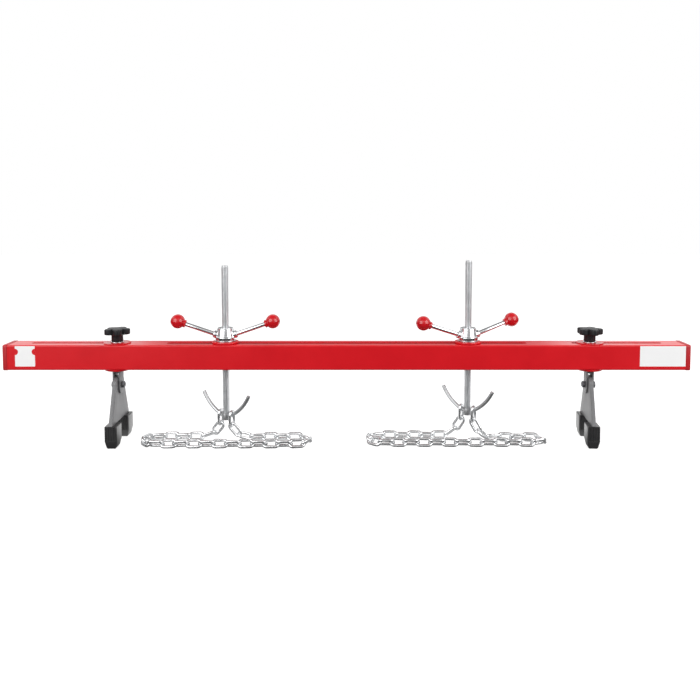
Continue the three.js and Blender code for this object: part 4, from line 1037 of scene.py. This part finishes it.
def make_hook(side):
    radius, height = HOOK_HUB
    bm = lathe([(0, 0), (radius, 0), (radius, height), (SCREW_HOLE, height),
                (SCREW_HOLE, HUB_SOCKET), (0, HUB_SOCKET)], HUB_STEPS)
    soften(bm, HUB_EDGE)
    root, tip = HOOK_SLOPES
    bend_x = HOOK_ROOT[0] - HOOK_BEND * math.sin(root)
    bend_z = HOOK_ROOT[1] + HOOK_BEND * math.cos(root)
    lean = Matrix.Rotation(math.pi / 2 - root, 4, "Y")
    place = Matrix.Translation((HOOK_ROOT[0], 0, HOOK_ROOT[1])) @ lean
    for way in (1, -1):
        arm = bmesh.new()
        bmesh.ops.create_circle(arm, cap_ends=True, segments=BAR_SIDES, radius=HOOK_BAR,
                                matrix=place)
        bmesh.ops.spin(arm, geom=[*arm.verts, *arm.edges, *arm.faces], cent=(bend_x, 0, bend_z),
                       axis=(0, -1, 0), angle=tip - root, steps=BAR_STEPS)
        bmesh.ops.recalc_face_normals(arm, faces=arm.faces)
        soften(arm, BAR_EDGE, segments=2, sharper_than=60)
        add_mesh(bm, moved(arm, half_turn(way)))
    bmesh.ops.translate(bm, verts=bm.verts, vec=(0, 0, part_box(f"{side}_double_hook")[0].z))
    return turn_about(bm, centre_of(f"{side}_lift_screw"), HOOK_YAW[side])


hook_zinc = surface("hook_zinc", HOOK_ZINC, roughness=0.42, metallic=1, drift=0.08, drift_scale=60,
                    grain_scale=1200, grain_depth=0.015)
replace_pair("double_hook", make_hook, hook_zinc)

# Sling chains. Welded links of zinc plated steel hang with one end on each arm of a hook and lie on
# the floor between: out, round, under the hook at the front, round again and back.
WIRE = 3 * MM
LINK_ARC = 8 * MM  # radius of a link's middle line at its ends
LINK_HALF = 16.5 * MM
# From the middle line of a link's end to where it meets the next link: loose, welded or on a hook.
FREE_END = WIRE + 0.25 * MM
JOINED_END = WIRE - 0.6 * MM
HUNG_END = 2 * WIRE + SEAT_GAP
LINK_ROLL = math.radians(45)
ROLL_LINKS = 2
RING_REACH = 15 * MM
FLOOR_GAP = 0.1 * MM
DROP_REACH = 20 * MM
WAY_STEP = 1 * MM
OUTER_LIMITS = (130 * MM, 260 * MM)
OUTER_HALVINGS = 24
WIRE_SIDES = 12
ARC_STEPS = 12
SIDE_STEPS = 4
WELD_STEP = 2  # where along a side the weld lies
WELD_SWELL = 1.12
LINK_ZINC = (0.86, 0.87, 0.88)
# How many links each rigid length has, and how the chain lies, measured from the screw's axis.
LAYS = {
    "left": {
        "welded": [4, 6, 7, 7, 4], "inner": 195 * MM, "front": -48 * MM,
        "land_outer": 41.5 * MM, "land_inner": 60.5 * MM,
        "back_outer": 5 * MM, "back_inner": 2 * MM,
    },
    "right": {
        "welded": [4, 6, 9, 7, 4], "inner": 229 * MM, "front": -38 * MM,
        "land_outer": 49.5 * MM, "land_inner": 51.5 * MM,
        "back_outer": 1 * MM, "back_inner": 15 * MM,
    },
}


def make_link():
    """One link, long along X and wide along Y, round wire all the way, with its weld's swelling."""
    bm = bmesh.new()
    straight = LINK_HALF - LINK_ARC
    place = Matrix.Translation((straight, -LINK_ARC, 0)) @ Matrix.Rotation(math.pi / 2, 4, "Y")
    first = bmesh.ops.create_circle(bm, segments=WIRE_SIDES, radius=WIRE, matrix=place)["verts"]
    ring = list({edge for vert in first for edge in vert.link_edges})
    start = ring
    for way in (1, -1):
        verts = list({vert for edge in ring for vert in edge.verts})
        spun = bmesh.ops.spin(bm, geom=[*verts, *ring], cent=(way * straight, 0, 0), axis=(0, 0, 1),
                              angle=math.pi, steps=ARC_STEPS)["geom_last"]
        ring = only(bmesh.types.BMEdge, spun)
        if way < 0:
            break
        for step in range(1, SIDE_STEPS + 1):
            added = bmesh.ops.extrude_edge_only(bm, edges=ring)["geom"]
            ring = only(bmesh.types.BMEdge, added)
            verts = only(bmesh.types.BMVert, added)
            bmesh.ops.translate(bm, verts=verts, vec=(-2 * straight / SIDE_STEPS, 0, 0))
            if step == WELD_STEP:
                middle = Matrix.Translation((0, -LINK_ARC, 0))
                bmesh.ops.scale(bm, vec=(1, WELD_SWELL, WELD_SWELL), verts=verts, space=middle)
    bmesh.ops.bridge_loops(bm, edges=ring + start)
    bmesh.ops.recalc_face_normals(bm, faces=bm.faces)
    return mesh_of(bm, "link")


def chain_way(lay, way, start, end, outer):
    """The chain's way from hook to floor and back up to the hook, as a dense run of points."""
    floor = LINK_ARC * math.sin(LINK_ROLL) + WIRE + FLOOR_GAP
    half_width = LINK_ARC * math.cos(LINK_ROLL) + WIRE

    def turn(back, reach):
        """The radius of a half round and the place of its middle, out along X and along Y."""
        radius = (back - lay["front"]) / 2
        return radius, reach - radius - half_width, lay["front"] + radius

    def line(start, end, y):
        count = max(1, round(abs(end - start) / WAY_STEP))
        return [(start + (end - start) * i / count, y) for i in range(count + 1)]

    def half_round(x, y, radius, first):
        count = round(math.pi * radius / WAY_STEP)
        angles = [first - math.pi * i / count for i in range(count + 1)]
        return [(x + radius * math.cos(a), y + radius * math.sin(a)) for a in angles]

    outer_radius, outer_turn, outer_y = turn(lay["back_outer"], outer)
    inner_radius, inner_turn, inner_y = turn(lay["back_inner"], lay["inner"])
    quarter = math.pi / 2
    run = line(lay["land_outer"], outer_turn, lay["back_outer"])
    run += half_round(outer_turn, outer_y, outer_radius, quarter)[1:]
    run += line(outer_turn, -inner_turn, lay["front"])[1:]
    run += half_round(-inner_turn, inner_y, inner_radius, -quarter)[1:]
    run += line(-inner_turn, -lay["land_inner"], lay["back_inner"])[1:]
    laid = [Vector((way * x, y, floor)) for x, y in run]

    def drop(here, there):
        outward = Vector((here.x, here.y, 0)).normalized()
        bend = (here + outward * DROP_REACH).xy.to_3d() + Vector((0, 0, floor))
        count = round(((bend - here).length + (there - bend).length) / WAY_STEP)
        shares = [i / count for i in range(count + 1)]
        return [here * (1 - s) ** 2 + bend * 2 * s * (1 - s) + there * s * s for s in shares]

    return drop(start, laid[0])[:-1] + laid + drop(end, laid[-1])[::-1][1:]


def walk(way, lengths):
    """Steps of the given lengths along a way, or None where the way ends before the last one."""
    reached = [way[0]]
    following = 1
    for length in lengths:
        here = reached[-1]
        while following < len(way) and (way[following] - here).length < length:
            following += 1
        if following == len(way):
            return None
        short = (way[following - 1] - here).length
        long = (way[following] - here).length
        share = (length - short) / (long - short)
        reached.append(way[following - 1].lerp(way[following], share))
    return reached


def folded(angle):
    """The same angle across a link within a quarter turn, as half a turn changes nothing."""
    return angle - math.pi * round(angle / math.pi)


def level_frame(along):
    level = Vector((0, 0, 1)).cross(along).normalized()
    return level, along.cross(level)


def roll_of(across, along):
    level, rise = level_frame(along)
    return folded(math.atan2(across.dot(rise), across.dot(level)))


def make_chain(side, way, lay):
    """The meshes of one chain, in the order of its nodes."""
    yaw = HOOK_YAW[side]
    middle = centre_of(f"{side}_lift_screw")
    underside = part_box(f"{side}_double_hook")[0].z
    arm_way = way * Vector((math.cos(yaw), math.sin(yaw), 0))
    across_arm = Vector((0, 0, 1)).cross(arm_way)
    slope = math.asin(math.sin(HOOK_SLOPES[0]) + (RING_REACH - HOOK_ROOT[0]) / HOOK_BEND)
    arm_height = HOOK_ROOT[1] + HOOK_BEND * (math.cos(HOOK_SLOPES[0]) - math.cos(slope))
    lift = (WIRE + HOOK_BAR + SEAT_GAP) / math.cos(slope)
    hang = underside + arm_height + lift - LINK_HALF
    down = Vector((0, 0, -1))
    rings = [sign * arm_way * RING_REACH + Vector((0, 0, hang)) for sign in (1, -1)]
    start, end = [ring + down * LINK_HALF for ring in rings]
    counts = [1, *lay["welded"], 1]
    length_of = [i for i, count in enumerate(counts) for _ in range(count)]
    final, last = length_of[-1], len(length_of) - 1

    def end_of(link):
        if link in (1, last):
            return HUNG_END
        return JOINED_END if length_of[link - 1] == length_of[link] else FREE_END

    lengths = [2 * LINK_HALF - end_of(link) - end_of(link + 1) for link in range(1, last)]
    short, long = OUTER_LIMITS
    for _ in range(OUTER_HALVINGS):
        outer = (short + long) / 2
        if walk(chain_way(lay, way, start, end, outer), lengths):
            long = outer
        else:
            short = outer
    meets = walk(chain_way(lay, way, start, end, long), lengths)
    ways = [(there - here).normalized() for here, there in zip(meets, meets[1:])]
    hang_roll = roll_of(across_arm, ways[0])

    def lie_of(link):
        return math.copysign(LINK_ROLL, hang_roll) * (-1 if link % 2 else 1)

    first_twist = folded(hang_roll - lie_of(0))
    last_twist = folded(roll_of(across_arm, ways[-1]) - lie_of(last))
    meshes = [bmesh.new() for _ in range(final + 1)]

    def put(index, centre, along, across):
        through = along.cross(across)
        lie = Matrix((along, across, through)).transposed().to_4x4()
        place = Matrix.Translation(centre + Vector((middle.x, middle.y, 0)))
        add_copy(meshes[index], link_mesh, place @ lie)

    put(0, rings[0], down, across_arm)
    for i, along in enumerate(ways):
        link = i + 1
        twist = first_twist * max(0, 1 - i / ROLL_LINKS)
        twist += last_twist * max(0, 1 - (last - 1 - link) / ROLL_LINKS)
        angle = lie_of(link) + twist
        level, rise = level_frame(along)
        across = level * math.cos(angle) + rise * math.sin(angle)
        put(length_of[link], meets[i] + along * (LINK_HALF - end_of(link)), along, across)
    put(final, rings[1], down, across_arm)
    return meshes


link_zinc = surface("link_zinc", LINK_ZINC, roughness=0.27, metallic=1, drift=0.06, drift_scale=70,
                    grain_scale=1300, grain_depth=0.01)
link_mesh = make_link()
for side, way in SIDES.items():
    parts = make_chain(side, way, LAYS[side])
    names = ["chain_outer_link"]
    names += [f"chain_length_{i + 1}" for i in range(len(parts) - 2)]
    names += ["chain_inner_link"]
    for bm, name in zip(parts, names):
        replace_node(bm, f"{side}_{name}", link_zinc, crease=60)
